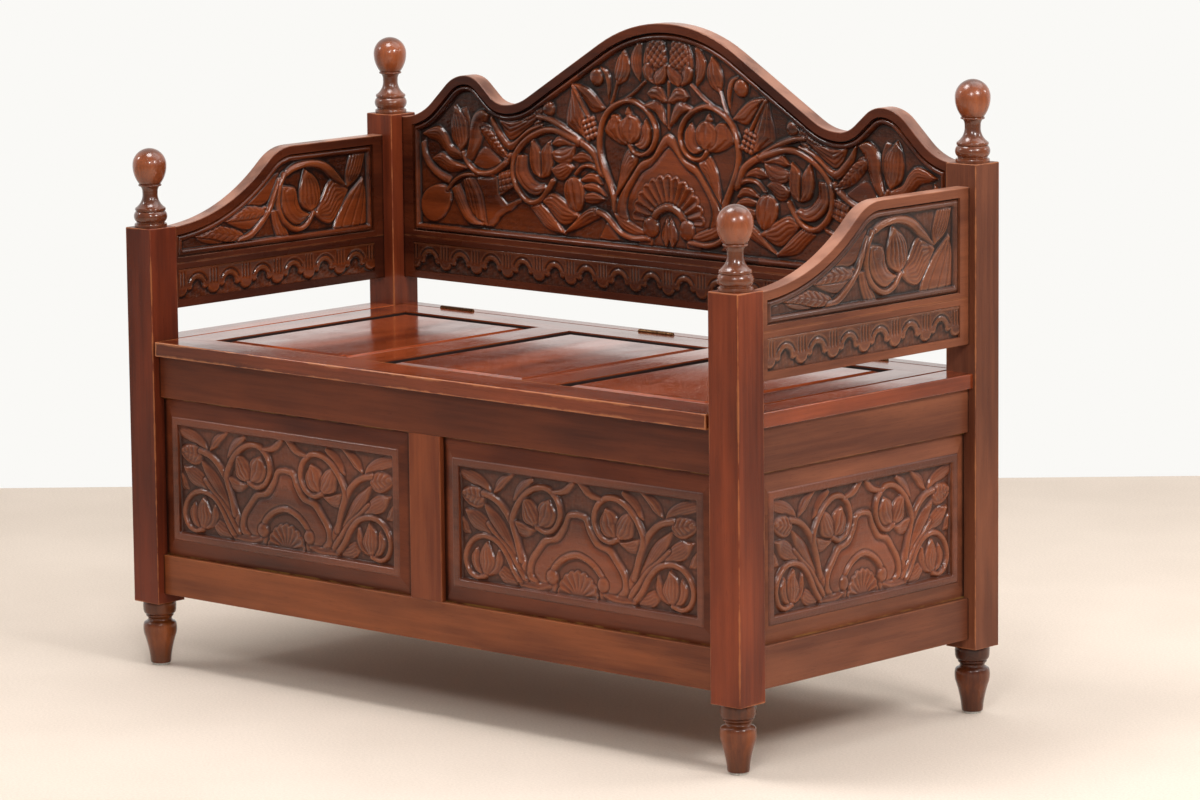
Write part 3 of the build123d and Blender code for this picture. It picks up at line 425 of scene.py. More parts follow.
def carve_back_scroll(c):
    """The big scroll, its tulip, and the leaves between it and the main stem."""
    c.blade([(-230, 742), (-216, 755), (-200, 753), (-186, 746), (-162, 746)],
            [(-230, 742), (-214, 737), (-200, 739), (-184, 741), (-162, 742)], 6.2, 3, -0.25)
    c.blade([(-182, 742), (-205, 741), (-229, 732)],
            [(-182, 742), (-188, 722), (-206, 713), (-226, 720), (-229, 732)], 5.8, 3, 0.3)
    c.blade([(-192, 722), (-173, 734), (-155, 730), (-138, 716)],
            [(-192, 722), (-174, 718), (-158, 719), (-138, 712)], 4.4, 2, -0.3)
    c.blade([(-230, 706), (-214, 714), (-196, 716), (-186, 710)],
            [(-230, 702), (-222, 692), (-206, 691), (-186, 710)], 6.2, 4, -0.2)
    c.blade([(-172, 694), (-156, 704), (-140, 703), (-130, 690)],
            [(-172, 690), (-157, 690), (-144, 690), (-130, 688)], 5.8, 2, -0.3)
    c.blade([(-168, 686), (-150, 690), (-135, 686), (-123, 674)],
            [(-168, 680), (-151, 676), (-137, 675), (-123, 671)], 5.4, 2, -0.3)
    c.blade([(-164, 673), (-148, 676), (-135, 673), (-124, 668)],
            [(-166, 661), (-150, 659), (-138, 662), (-124, 668)], 5.0, 2, -0.25)
    c.blade([(-254, 655), (-236, 642), (-220, 627), (-204, 613)],
            [(-276, 646), (-258, 630), (-241, 616), (-204, 609)], 6.0, 4, -0.3)
    c.blade([(-250, 657), (-230, 669), (-206, 661), (-172, 639)],
            [(-250, 657), (-236, 643), (-215, 626), (-196, 627), (-172, 639)], 6.8, 4, -0.25)
    c.blade([(-138, 610), (-120, 634), (-98, 610)], [(-138, 610), (-118, 608), (-98, 610)], 2.8, 0)
    c.blade([(-208, 611), (-186, 630), (-164, 648), (-147, 654), (-130, 648)],
            [(-208, 611), (-172, 624), (-150, 634), (-130, 643)], 7.0, 3, -0.25)
    c.egg((-185, 671), 26, 20, -78, 8.2, 3)
    c.stem([(-128, 703), (-141, 712), (-155, 715), (-170, 712), (-183, 701)], 9, 7.2, 0.5)
    # The crescent petal inside the scroll, and the tulip over it
    c.blade([(-299, 722), (-303, 696), (-292, 678), (-274, 666), (-256, 665), (-238, 676)],
            [(-280, 722), (-279, 702), (-268, 688), (-256, 682), (-246, 682), (-238, 676)], 6.4, 2, -0.35)
    c.blade([(-250, 690), (-267, 698), (-274, 720), (-268, 748)],
            [(-250, 690), (-251, 712), (-252, 730), (-268, 748)], 8.0, 2, -0.1)
    c.blade([(-249, 690), (-234, 697), (-227, 718), (-233, 747)],
            [(-249, 690), (-249, 712), (-249, 732), (-233, 747)], 7.8, 2, 0.1)
    c.stem([(-131, 707), (-142, 729), (-156, 741), (-172, 749), (-192, 760), (-214, 771), (-238, 779),
            (-256, 781)], 13, 7.6, 0.65)
    c.stem([(-176, 749), (-202, 758), (-224, 763), (-245, 761), (-270, 751), (-290, 737), (-304, 719),
            (-308, 696), (-302, 675), (-287, 659), (-271, 653), (-254, 658), (-240, 671), (-228, 688)],
           10.5, 8.0, 0.8)


def carve_back_middle(c):
    """The main stem with its scroll and tulip, the split leaf, and the leaves and thistles at the top."""
    c.blade([(-189, 834), (-193, 812), (-199, 792), (-201, 774), (-190, 766), (-162, 754)],
            [(-187, 832), (-178, 814), (-168, 796), (-162, 782), (-160, 768), (-162, 754)], 5.6, 3, 0.3)
    c.blade([(-186, 835), (-158, 829), (-142, 819), (-122, 800)],
            [(-184, 832), (-165, 810), (-148, 794), (-122, 800)], 6.0, 2, -0.3)
    c.stem([(-186, 831), (-173, 812), (-156, 786)], 7, 7.0, 0.8)
    for row in range(4):
        for place in range(3):
            c.ball((-164 + 7.5 * place + 2.5 * row, 778 - 7.5 * row + 3 * place), 4.6, 6.8)
    c.blade([(-134, 862), (-116, 855), (-111, 834), (-117, 812)],
            [(-134, 862), (-124, 850), (-119, 834), (-117, 812)], 5.0, 0, 0.2)
    c.ball((-139, 846), 13.0, 7.8)
    c.blade([(-100, 836), (-104, 856), (-97, 876), (-84, 890)],
            [(-98, 836), (-80, 846), (-73, 866), (-84, 890)], 6.0, 3, -0.1)
    c.blade([(-54, 843), (-68, 858), (-72, 878), (-60, 900)],
            [(-54, 843), (-51, 862), (-52, 880), (-50, 900)], 5.4, 4, -0.2)
    c.stem([(-112, 805), (-105, 822), (-98, 842)], 5, 5.8, 0.7)
    # One of the two thistles that stand side by side
    c.blade([(-24, 843), (-46, 862), (-46, 884), (-36, 910)],
            [(-20, 843), (-2, 862), (-3, 884), (-10, 912)], 5.4, 0, 0.0, 0.3)
    c.hatch([(-41, 866), (-40, 890), (-34, 906), (-10, 910), (-5, 890), (-4, 866)], 6.6, 8.5, 52)
    c.blade([(-24, 841), (-43, 850), (-47, 866), (-36, 872)],
            [(-24, 841), (-28, 850), (-27, 862), (-36, 872)], 7.8, 2, -0.2)
    c.blade([(-22, 841), (-29, 850), (-24, 860), (-2, 873)], [(-20, 841), (-7, 846), (-1, 858), (-2, 873)],
            8.0, 2, 0.2)
    # Two drooping leaves under it, against the middle line
    c.stem([(0, 846), (0, 812), (0, 780)], 6, 3.6)
    c.blade([(-2, 822), (-14, 839), (-30, 838), (-40, 828)],
            [(-2, 816), (-16, 815), (-30, 818), (-40, 828)], 7.2, 3, -0.1)
    c.blade([(-3, 782), (-8, 806), (-22, 820), (-46, 812)], [(-3, 782), (-14, 790), (-26, 802), (-46, 808)],
            6.8, 5, 0.1)
    c.stem([(-90, 813), (-68, 826), (-44, 845)], 6, 6.4, 0.7)
    # The corner leaf beside the cartouche
    c.blade([(-104, 672), (-98, 700), (-91, 726), (-77, 745), (-58, 734)],
            [(-104, 672), (-88, 690), (-73, 711), (-62, 724), (-58, 734)], 6.2, 5, 0.1)
    # The tulip in its scroll
    c.blade([(-74, 750), (-98, 752), (-124, 766), (-120, 780), (-109, 793)],
            [(-74, 750), (-84, 762), (-88, 778), (-96, 792), (-109, 793)], 6.6, 2, 0.45, 0.2)
    c.blade([(-66, 752), (-50, 746), (-36, 756), (-34, 776), (-44, 791)],
            [(-66, 752), (-56, 762), (-54, 776), (-44, 791)], 6.8, 2, -0.35, 0.3)
    c.blade([(-76, 788), (-84, 796), (-78, 807)], [(-76, 788), (-70, 796), (-78, 807)], 6.6, 0)
    c.blade([(-73, 752), (-91, 762), (-94, 780), (-82, 792), (-72, 795)],
            [(-71, 752), (-56, 762), (-53, 780), (-61, 791), (-72, 795)], 8.4, 3, 0.0, 0.45)
    c.stem([(-104, 652), (-107, 673), (-113, 689), (-122, 707), (-130, 726), (-134, 744), (-133, 762),
            (-128, 780), (-119, 795), (-106, 805), (-88, 813), (-70, 815), (-52, 809), (-36, 798),
            (-26, 784), (-23, 770), (-28, 754), (-38, 743), (-52, 738), (-66, 741), (-74, 750)],
           10, 8.2, 0.7)


def carve_back_shell(c):
    """The cartouche in the middle of the back, its shell, arch and volutes, and the wave that ends in it."""
    outer = [(0, 772), (-10, 767), (-19, 755), (-31, 738), (-54, 728), (-70, 709), (-84, 692),
             (-97, 673), (-102, 652), (-94, 630)]
    inner = [(0, 752), (-8, 747), (-16, 739), (-34, 722), (-53, 711), (-66, 695), (-77, 678),
             (-81, 660), (-76, 640)]
    c.plate([(20, 772)] + list(flow(outer)) + [(-60, 606), (20, 606)], 3.4, 3)
    c.blade(outer, inner, 6.6, 0, -0.15, 0.6)
    c.plate([(20, 752)] + list(flow(inner)) + [(-60, 606), (20, 606)], 3.8, 9)
    c.blade([(-108, 652), (-90, 643), (-70, 637), (-42, 626)],
            [(-108, 652), (-99, 632), (-84, 620), (-62, 614), (-42, 620)], 6.4, 3, -0.3)
    c.stem([(-138, 648), (-123, 643), (-108, 631), (-92, 620), (-70, 615), (-40, 617)], 9, 7.2)
    c.shell((0, 642), 24, 70, 13, 8.0)
    c.plate([(-32, 606), (-31, 634), (-19, 652), (0, 658), (20, 658), (20, 606)], 2.0, 6)
    c.blade([(-6, 606), (-16, 624), (-4, 650)], [(-6, 606), (2, 626), (-4, 650)], 5.8, 2, 0.2)
    c.stem([(-36, 636), (-29, 648), (-18, 659), (0, 665), (18, 659)], 12, 7.6)
    c.ball((-35, 634), 15.0, 8.6)


def carve_back(c):
    """Scrolling stems with tulips, leaves and buds: the left half, which the right half mirrors."""
    carve_back_end(c)
    carve_back_swirl(c)
    carve_back_scroll(c)
    carve_back_middle(c)
    carve_back_shell(c)


def carve_panel(c):
    """Stems that rise from a low arch and end in tulips and buds: one half, which the other mirrors."""
    c.blade([(158, 46), (166, 60), (186, 72), (216, 80)],
            [(158, 46), (180, 52), (200, 58), (218, 64)], 4.2, 4)
    c.blade([(156, 46), (151, 62), (141, 72), (122, 80)],
            [(156, 46), (140, 54), (130, 64), (114, 78)], 4.6, 2, 0.3)
    c.blade([(120, 40), (114, 58), (102, 70), (84, 78)],
            [(120, 40), (106, 46), (94, 58), (80, 72)], 4.0, 4, 0.2)
    c.blade([(92, -56), (112, -62), (138, -52), (152, -60)],
            [(92, -64), (112, -76), (136, -76), (152, -60)], 4.0, 4, 0.1)
    c.blade([(150, -15), (166, 8), (186, 20), (210, 20)], [(150, -15), (174, -10), (196, -2), (210, 20)],
            5.2, 5, 0.15)
    c.blade([(200, -14), (206, 0), (216, 10)], [(200, -14), (214, -12), (216, 10)], 3.6, 2)
    c.blade([(104, -50), (122, -14), (142, 14), (176, 36)], [(104, -50), (132, -28), (160, 4), (176, 36)],
            5.0, 5, 0.15)
    c.egg((193, 39), 23, 15, 10, 6.6, 4)
    c.feather([(172, 36), (186, 40), (214, 44)], 24, 7.0, 5, 0.0, 0.7)
    c.stem([(94, -56), (104, -34), (114, -8), (124, 14), (138, 30), (154, 40), (174, 45)], 12.5, 6.4, 0.75)
    c.stem([(96, -66), (112, -46), (128, -28), (146, -14), (166, 4)], 11.5, 5.8, 0.55)
    # The corner scroll and its tulip
    c.blade([(170, -70), (150, -64), (140, -46), (146, -28)],
            [(170, -70), (156, -56), (152, -42), (146, -28)], 5.0, 2, 0.2)
    c.blade([(174, -70), (190, -64), (198, -46), (188, -30)],
            [(174, -70), (180, -56), (182, -42), (188, -30)], 5.2, 2, -0.2)
    c.blade([(171, -72), (154, -52), (160, -34), (168, -20)],
            [(173, -72), (182, -52), (180, -34), (168, -20)], 6.2, 4, 0.0)
    c.stem([(98, -78), (116, -58), (130, -36), (147, -20), (168, -14), (187, -17), (202, -29), (209, -48),
            (202, -66), (188, -73), (172, -70)], 10, 6.2, 0.75)
    # The upper scroll and its tulip
    c.blade([(74, 6), (92, -6), (112, -4), (119, 16)],
            [(74, 6), (90, 8), (104, 12), (119, 16)], 5.2, 4, 0.2)
    c.blade([(72, 8), (48, 12), (40, 30), (52, 50)],
            [(72, 8), (76, 24), (70, 42), (52, 50)], 6.0, 3, 0.0, 0.55)
    c.blade([(73, 8), (70, 26), (80, 42), (101, 51)],
            [(74, 8), (98, 14), (102, 32), (101, 51)], 6.4, 4, 0.05, 0.5)
    c.stem([(104, -40), (112, -12), (120, 14), (109, 38), (92, 55), (72, 64), (52, 63), (36, 50),
            (31, 30), (41, 11), (58, 4), (74, 9)], 10.5, 6.4, 0.75)
    c.blade([(46, 63), (28, 68), (14, 78), (0, 80)], [(46, 59), (30, 58), (14, 64), (0, 80)], 5.2, 4, 0.1)
    # The cartouche, the arch and the fan
    outer = [(0, 39), (18, 35), (26, 20), (42, 2), (62, -3), (76, -18), (90, -36), (94, -58), (84, -74)]
    inner = [(0, 29), (12, 26), (18, 12), (32, -6), (54, -13), (67, -26), (79, -42), (80, -56), (70, -66)]
    c.plate([(-20, 39)] + list(flow(outer)) + [(60, -80), (-20, -80)], 3.2, 3)
    c.blade(outer, inner, 5.8, 0, -0.1, 0.6)
    c.plate([(-20, 29)] + list(flow(inner)) + [(56, -80), (-20, -80)], 3.6, 8)
    c.blade([(110, -74), (92, -68), (68, -67), (48, -66)],
            [(110, -74), (88, -82), (64, -82), (48, -72)], 4.8, 2)
    c.plate([(-20, -26), (0, -26), (20, -31), (36, -46), (40, -80), (-20, -80)], 1.2, 4)
    c.shell((0, -80), 6, 38, 9, 4.8)
    c.stem([(-20, -26), (0, -21), (20, -26), (36, -36), (48, -50)], 9.5, 6.2)
    c.ball((47, -56), 10.5, 6.6)


def carve_arm(c):
    """A tulip in a scroll, with leaves running down to the front post."""
    c.blade([(146, 668), (148, 690), (158, 716)], [(150, 664), (176, 682), (188, 714)], 4.2, 5, 0.1)
    c.blade([(118, 604), (128, 626), (150, 652), (182, 677)],
            [(188, 604), (190, 628), (189, 654), (182, 677)], 4.6, 3, -0.2)
    c.blade([(-100, 660), (-60, 672), (-20, 690), (8, 700)],
            [(-100, 660), (-60, 654), (-24, 656), (2, 672)], 2.4, 0, 0.2)
    c.blade([(-104, 637), (-72, 654), (-46, 650), (-18, 652)],
            [(-104, 637), (-72, 624), (-46, 622), (-20, 636)], 4.6, 0, -0.2)
    c.feather([(-20, 644), (-52, 646), (-80, 644), (-106, 638)], 20, 5.4, 7, 0.35)
    c.blade([(-168, 623), (-136, 636), (-112, 632), (-62, 612)],
            [(-168, 623), (-146, 610), (-108, 605), (-62, 605)], 4.6, 0, -0.2)
    c.feather([(-64, 612), (-100, 618), (-132, 624), (-168, 622)], 22, 5.4, 8, 0.3)
    c.blade([(-10, 644), (-6, 624), (2, 604)], [(6, 646), (14, 624), (28, 604)], 4.6, 3, 0.1)
    c.blade([(76, 632), (94, 652), (110, 676), (126, 680), (150, 662)],
            [(76, 632), (98, 618), (116, 616), (134, 636), (150, 662)], 5.4, 6, 0.15)
    c.blade([(70, 632), (44, 618), (20, 632), (10, 654), (12, 677), (32, 676)],
            [(70, 632), (54, 640), (47, 652), (44, 664), (40, 674), (32, 676)], 6.2, 2, -0.1, 0.5)
    c.blade([(72, 634), (52, 648), (49, 666), (54, 684), (60, 700)],
            [(74, 634), (90, 648), (92, 668), (82, 686), (60, 700)], 7.0, 5, 0.0, 0.5)
    c.blade([(2, 680), (22, 702), (48, 712), (76, 714), (106, 706), (130, 688), (150, 664)],
            [(2, 680), (27, 694), (50, 701), (75, 702), (98, 695), (118, 680), (150, 664)], 6.2, 0, 0.2)
    c.stem([(-76, 606), (-54, 612), (-33, 627), (-14, 647), (-4, 667), (8, 688)], 11, 6.6, 0.8)
    c.stem([(17, 695), (7, 676), (4, 652), (13, 630), (30, 616), (47, 612), (63, 618), (76, 634)], 9, 6.6)


def carve_frieze(c, pitch, low, high):
    """A lappet edge: small arches under an incised brow, with fluted pendants between them."""
    springing = low + 15.5
    hollow = 11.0
    pendant_half = 11.5
    brow_radius = 19.5
    flute_pitch = 6.0
    place = (c.across + pitch / 2) % pitch - pitch / 2
    beside = np.abs(place)
    from_pendant = np.abs(pitch / 2 - beside)
    arch = springing + np.sqrt(np.clip(hollow**2 - place**2, 0, None))
    between = np.clip((beside - hollow) / (pitch / 2 - pendant_half - hollow), 0, 1)
    cusp = springing - 1.5 - 2.5 * np.sin(pi * between)
    drop = np.sqrt(np.clip(1 - (from_pendant / pendant_half) ** 2, 0, 1))
    pendant = springing - 2.0 - 10.0 * drop
    edge = np.where(beside < hollow, arch, np.where(from_pendant > pendant_half, cusp, pendant))
    around = np.hypot(place, c.up - springing)
    upper = smooth((c.up - springing - 5) / 3)
    brow = np.exp(-(((around - brow_radius) / 1.3) ** 2)) * upper
    line = np.abs((from_pendant + flute_pitch / 2) % flute_pitch - flute_pitch / 2)
    flute = np.exp(-((line / 1.2) ** 2)) * (from_pendant < 8) * smooth((c.up - springing - 1) / 4)
    flute = flute * smooth((high - 3 - c.up) / 3)
    form = 3.2 + 0.5 * smooth((brow_radius - around) / 3) * upper - 1.7 * brow - 1.5 * flute
    c.lay(np.arange(len(c.across)), np.minimum(c.up - edge, high - c.up), form)


# Carved fields as meshes


def field_grid(left, right, low, top):
    """Places over a field whose top follows a line, tucked into the wood all round."""
    columns = max(2, round((right - left + 2 * tuck) / grid_step))
    across = np.linspace(left - tuck, right + tuck, columns)
    high = top(across)
    rows = max(2, round((high.max() - low + tuck) / (grid_step * row_stretch)))
    share = np.linspace(0, 1, rows)[:, None]
    up = (low - tuck) + share * (high - low + tuck)
    return np.broadcast_to(across, up.shape), up


def level_top(height):
    """A level top for a field, tucked into the wood."""
    return lambda across: np.full(across.shape, height + tuck)


def blurred(heights, passes):
    """Heights softened over their neighbours."""
    soft = heights.copy()
    for _ in range(passes):
        for axis in (0, 1):
            padded = np.pad(soft, [(1, 1) if i == axis else (0, 0) for i in (0, 1)], mode="edge")
            first = np.take(padded, range(0, soft.shape[axis]), axis)
            last = np.take(padded, range(2, soft.shape[axis] + 2), axis)
            soft = 0.25 * first + 0.5 * soft + 0.25 * last
    return soft


def carved_mesh(name, grid, carving, place, depth, bead_glaze=0.0):
    """A carved field as a sheet: place turns (across, up, height) into a point in millimetres."""
    rows, columns = grid[0].shape
    bpy.ops.mesh.primitive_grid_add(x_subdivisions=columns - 1, y_subdivisions=rows - 1, size=1)
    piece = bpy.context.object
    piece.name = name
    piece.data.name = name
    across, up = grid
    surface = blurred(carving.height.reshape(up.shape), 1)
    plain = carving.plain.reshape(up.shape)
    points = place(across.ravel(), up.ravel(), surface.ravel()) * mm
    piece.data.vertices.foreach_set("co", points.astype(np.float32).ravel())
    # Glaze and painted shade: glaze left in the recesses, with painted shade in them and over the low ground,
    # plus the glaze on beads and rims
    recess = 0.8 * smooth((blurred(surface, recess_passes) - surface) / (0.24 * depth))
    recess = np.clip(recess + 0.45 * smooth(1.4 - 4 * surface / depth) + bead_glaze * plain, 0, 1)
    # Ridges to lighten later: partly rubbed wear, partly painted highlight
    ridge = smooth((surface - blurred(surface, ridge_passes)) / (0.06 * depth)) * (1 - plain)
    for attribute, values in (("recess", recess), ("ridge", ridge)):
        layer = piece.data.attributes.new(attribute, "FLOAT", "POINT")
        layer.data.foreach_set("value", values.astype(np.float32).ravel())
    bpy.ops.object.shade_smooth()
    bpy.ops.object.select_all(action="DESELECT")
    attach(piece, "frame")
    return piece


def mirrored_half(across):
    """Places folded onto the left half."""
    return -np.abs(across)


def back_fields():
    """The carved back in three widths, whose meshes stay light enough."""
    low = span_of("back_board")[0]
    crest = crest_line()
    inner = crest[-1][0] - field_end
    field_low = span_of("back_frieze_rail")[1][2] + field_rise

    def top(across):
        return np.interp(across, crest[:, 0], crest[:, 1]) - field_band + tuck

    def place(across, up, height):
        return np.stack((across, np.full(across.shape, low[1] + back_field_depth) - height, up), 1)

    made = []
    edges = np.linspace(-inner, inner, 4)
    names = ("back_carving_left", "back_carving_center", "back_carving_right")
    for name, left, right in zip(names, edges, edges[1:]):
        grid = field_grid(left, right, field_low, top)
        c = Carving(mirrored_half(grid[0]), grid[1])
        carve_back(c)
        half = crest[crest[:, 0] <= 0]
        everywhere = np.arange(len(c.across))
        to_crest = c.measure(half, everywhere)[0] - field_band
        inward = np.minimum(np.minimum(inner - np.abs(c.across), c.up - field_low), to_crest)
        c.moulding(inward, back_field_depth, moulding_width)
        made.append(carved_mesh(name, grid, c, place, back_field_depth, back_bead_glaze))
    return made


def panel_fields():
    """The carved fields of the front and side panels."""
    made = []
    for name in carved_panels:
        low, high = span_of(name)
        axis = 0 if name.startswith("front") else 1
        middle = (low + high) / 2
        half = (high - low)[axis] / 2 - tongue_depth - bevel_side - carved_margin
        bottom = low[2] + tongue_depth + bevel_bottom + carved_margin
        top_height = high[2] - tongue_depth - bevel_top - carved_margin
        outward = -1 if axis == 0 or name.startswith("left") else 1
        if axis == 0:
            floor = low[1] + carved_depth
        else:
            floor = (high if outward > 0 else low)[0] - outward * carved_depth
        edge = carved_margin - 0.5
        grid = field_grid(-half - edge, half + edge, bottom - edge, level_top(top_height + edge))
        centre = (bottom + top_height) / 2
        c = Carving(np.abs(grid[0]) * panel_design_half / half, grid[1] - centre)
        carve_panel(c)
        above = np.minimum(grid[1] - bottom, top_height - grid[1])
        c.rim(np.minimum(half - np.abs(grid[0]), above).ravel(), carved_depth, carved_margin)

        def place(across, up, height):
            if axis == 0:
                return np.stack((middle[0] + across, floor - height, up), 1)
            return np.stack((floor + outward * height, outward * across, up), 1)

        made.append(carved_mesh(name + "_carving", grid, c, place, carved_depth, panel_rim_glaze))
    return made


def arm_fields():
    """The carved fields and friezes on both faces of both arms."""
    made = []
    line = arm_line()
    inner = line[-1][0] - field_end
    for side, out in (("left", -1), ("right", 1)):
        low, high = span_of(side + "_arm_board")
        rail_low, rail_high = span_of(side + "_arm_frieze_rail")
        field_low = rail_high[2] + field_rise
        for face, way in (("outer", out), ("inner", -out)):
            surface = high[0] if way > 0 else low[0]

            def top(across):
                return np.interp(across * way, line[:, 0], line[:, 1]) - field_band + tuck

            def place(across, up, height, sunk=arm_field_depth):
                return np.stack((surface - way * (sunk - height), way * across, up), 1)

            grid = field_grid(-inner, inner, field_low, top)
            c = Carving(way * grid[0], grid[1])
            carve_arm(c)
            everywhere = np.arange(len(c.across))
            to_top = c.measure(line, everywhere)[0] - field_band
            inward = np.minimum(np.minimum(inner - np.abs(c.across), c.up - field_low), to_top)
            c.moulding(inward, arm_field_depth, moulding_width)
            name = f"{side}_arm_{face}_carving"
            made.append(carved_mesh(name, grid, c, place, arm_field_depth, arm_bead_glaze))

            frieze_low = rail_low[2] + frieze_inset
            frieze_high = rail_high[2] - frieze_drop
            grid = field_grid(-inner, inner, frieze_low, level_top(frieze_high))
            c = Carving(way * grid[0] + arm_arch_shift, grid[1])
            carve_frieze(c, arm_arch_pitch, frieze_low, frieze_high)

            def frieze_place(across, up, height):
                return place(across, up, height, frieze_depth)

            name = f"{side}_arm_{face}_frieze"
            made.append(carved_mesh(name, grid, c, frieze_place, frieze_depth))
    return made


def back_frieze():
    """The carved frieze of the back."""
    low, high = span_of("back_frieze_rail")
    inner = crest_line()[-1][0] - field_end
    frieze_low = low[2] + frieze_inset
    frieze_high = high[2] - frieze_drop
    grid = field_grid(-inner, inner, frieze_low, level_top(frieze_high))
    c = Carving(grid[0] + back_arch_pitch / 2, grid[1])
    carve_frieze(c, back_arch_pitch, frieze_low, frieze_high)

    def place(across, up, height):
        return np.stack((across, np.full(across.shape, low[1] + frieze_depth) - height, up), 1)

    return [carved_mesh("back_frieze", grid, c, place, frieze_depth)]


# Turned feet


def turned_foot(name):
    """A foot turned to its outline: a collar and a ring over a bulb that draws in to a straight toe."""
    low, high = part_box(name)
    middle = (low + high) / 2
    outline = [(0.0, foot_collar[0][1])]
    for part in (foot_collar, foot_ring, foot_bulb):
        outline.extend(flow(part))
    outline.append((0.0, foot_bulb[-1][1]))
    mesh = bpy.data.meshes.new(name + "_turned")
    points = [(middle.x + radius * mm, middle.y, height * mm) for radius, height in outline]
    mesh.from_pydata(points, [(i, i + 1) for i in range(len(points) - 1)], [])
    piece = bpy.data.objects.new(mesh.name, mesh)
    bpy.context.collection.objects.link(piece)
    bpy.context.view_layer.objects.active = piece
    piece.select_set(True)
    bpy.ops.object.mode_set(mode="EDIT")
    bpy.ops.mesh.select_all(action="SELECT")
    bpy.ops.mesh.spin(steps=72, angle=2 * pi, center=(middle.x, middle.y, 0), axis=(0, 0, 1))
    bpy.ops.mesh.select_all(action="SELECT")
    bpy.ops.mesh.remove_doubles(threshold=0.01 * mm)
    bpy.ops.mesh.normals_make_consistent(inside=False)
    bpy.ops.object.mode_set(mode="OBJECT")
    bpy.ops.object.shade_smooth_by_angle(angle=radians(40))
    bpy.ops.object.select_all(action="DESELECT")
    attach(piece, "frame")
    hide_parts(name)
    return piece


# Finishes


def paint(red, green, blue):
    """A colour given as the eye sees it, 0 to 255, for a shader."""
    shares = [channel / 255 for channel in (red, green, blue)]
    linear = [s / 12.92 if s <= 0.04045 else ((s + 0.055) / 1.055) ** 2.4 for s in shares]
    return (*linear, 1.0)


class Net:
    """A node tree with short ways to add to it."""

    def __init__(self, tree):
        self.tree = tree

    def node(self, kind, **settings):
        """A node with its settings."""
        made = self.tree.nodes.new(kind)
        for name, value in settings.items():
            setattr(made, name, value)
        return made

    def feed(self, socket, value):
        """Gives a socket a link or a plain value."""
        if isinstance(value, bpy.types.NodeSocket):
            self.tree.links.new(value, socket)
        else:
            socket.default_value = value

    def math(self, operation, *values):
        """One step of arithmetic."""
        made = self.node("ShaderNodeMath", operation=operation)
        for socket, value in zip(made.inputs, values):
            self.feed(socket, value)
        return made.outputs[0]

    def vector(self, operation, first, second):
        """One step of arithmetic on three numbers at once."""
        made = self.node("ShaderNodeVectorMath", operation=operation)
        self.feed(made.inputs[0], first)
        self.feed(made.inputs[1], second)
        return made.outputs[0]

    def parts(self, place):
        """The three numbers of a place."""
        made = self.node("ShaderNodeSeparateXYZ")
        self.feed(made.inputs[0], place)
        return made.outputs

    def noise(self, place, scale, detail=3.0, roughness=0.55):
        """Soft noise, scaled along each axis."""
        made = self.node("ShaderNodeTexNoise")
        self.feed(made.inputs["Vector"], self.vector("MULTIPLY", place, scale))
        made.inputs["Scale"].default_value = 1.0
        made.inputs["Detail"].default_value = detail
        made.inputs["Roughness"].default_value = roughness
        return made.outputs["Fac"]

    def ramp(self, value, low, high, start=0.0, end=1.0):
        """A value eased from one level to another."""
        made = self.node("ShaderNodeMapRange", interpolation_type="SMOOTHSTEP")
        for socket, given in zip(made.inputs, (value, low, high, start, end)):
            self.feed(socket, given)
        return made.outputs[0]

    def mix(self, share, first, second, blend="MIX"):
        """Two colours mixed by a share."""
        made = self.node("ShaderNodeMix", data_type="RGBA", blend_type=blend)
        self.feed(made.inputs[0], share)
        self.feed(made.inputs[6], first)
        self.feed(made.inputs[7], second)
        return made.outputs[2]

    def group(self, tree, **inputs):
        """A group with some of its inputs set, by their names with spaces for underscores."""
        made = self.node("ShaderNodeGroup", node_tree=tree)
        for name, value in inputs.items():
            self.feed(made.inputs[name.replace("_", " ")], value)
        return made.outputs


socket_kinds = {"vector": "NodeSocketVector", "colour": "NodeSocketColor", "value": "NodeSocketFloat"}


def new_group(name, inputs, outputs):
    """An empty group with named sockets, and its two end nodes."""
    tree = bpy.data.node_groups.new(name, "ShaderNodeTree")
    for label, kind in inputs:
        tree.interface.new_socket(label, in_out="INPUT", socket_type=socket_kinds[kind])
    for label, kind in outputs:
        tree.interface.new_socket(label, in_out="OUTPUT", socket_type=socket_kinds[kind])
    net = Net(tree)
    return net, net.node("NodeGroupInput").outputs, net.node("NodeGroupOutput").inputs


def make_grain():
    """Mahogany grain that runs along X: streaks, broad figure and short dark pores."""
    inputs = [("Place", "vector"), ("Light", "colour"), ("Dark", "colour")]
    outputs = [("Colour", "colour"), ("Height", "value"), ("Sheen", "value")]
    net, given, out = new_group("mahogany grain", inputs, outputs)
    place = given["Place"]
    streak = net.ramp(net.noise(place, (5.0, 120.0, 120.0), 4.0, 0.6), 0.3, 0.7)
    figure = net.ramp(net.noise(place, (2.4, 11.0, 11.0), 3.0), 0.34, 0.68)
    pores = net.ramp(net.noise(place, (55.0, 1100.0, 1100.0), 2.0, 0.5), 0.57, 0.72)
    share = net.math("ADD", net.math("MULTIPLY", streak, 0.28), net.math("MULTIPLY", figure, 0.72))
    colour = net.mix(share, given["Dark"], given["Light"])
    darker = net.mix(1.0, colour, (0.62, 0.5, 0.45, 1.0), "MULTIPLY")
    net.feed(out["Colour"], net.mix(net.math("MULTIPLY", pores, 0.55), colour, darker))
    height = net.math("SUBTRACT", net.math("MULTIPLY", streak, 0.35), pores)
    net.feed(out["Height"], height)
    net.feed(out["Sheen"], net.noise(place, (9.0, 14.0, 14.0), 3.0))
    return net.tree


def inside_box(net, given):
    """How far a place lies inside the box from Low to High, along each axis."""
    from_low = net.vector("SUBTRACT", given["Place"], given["Low"])
    from_high = net.vector("SUBTRACT", given["High"], given["Place"])
    return net.parts(net.vector("MINIMUM", from_low, from_high))


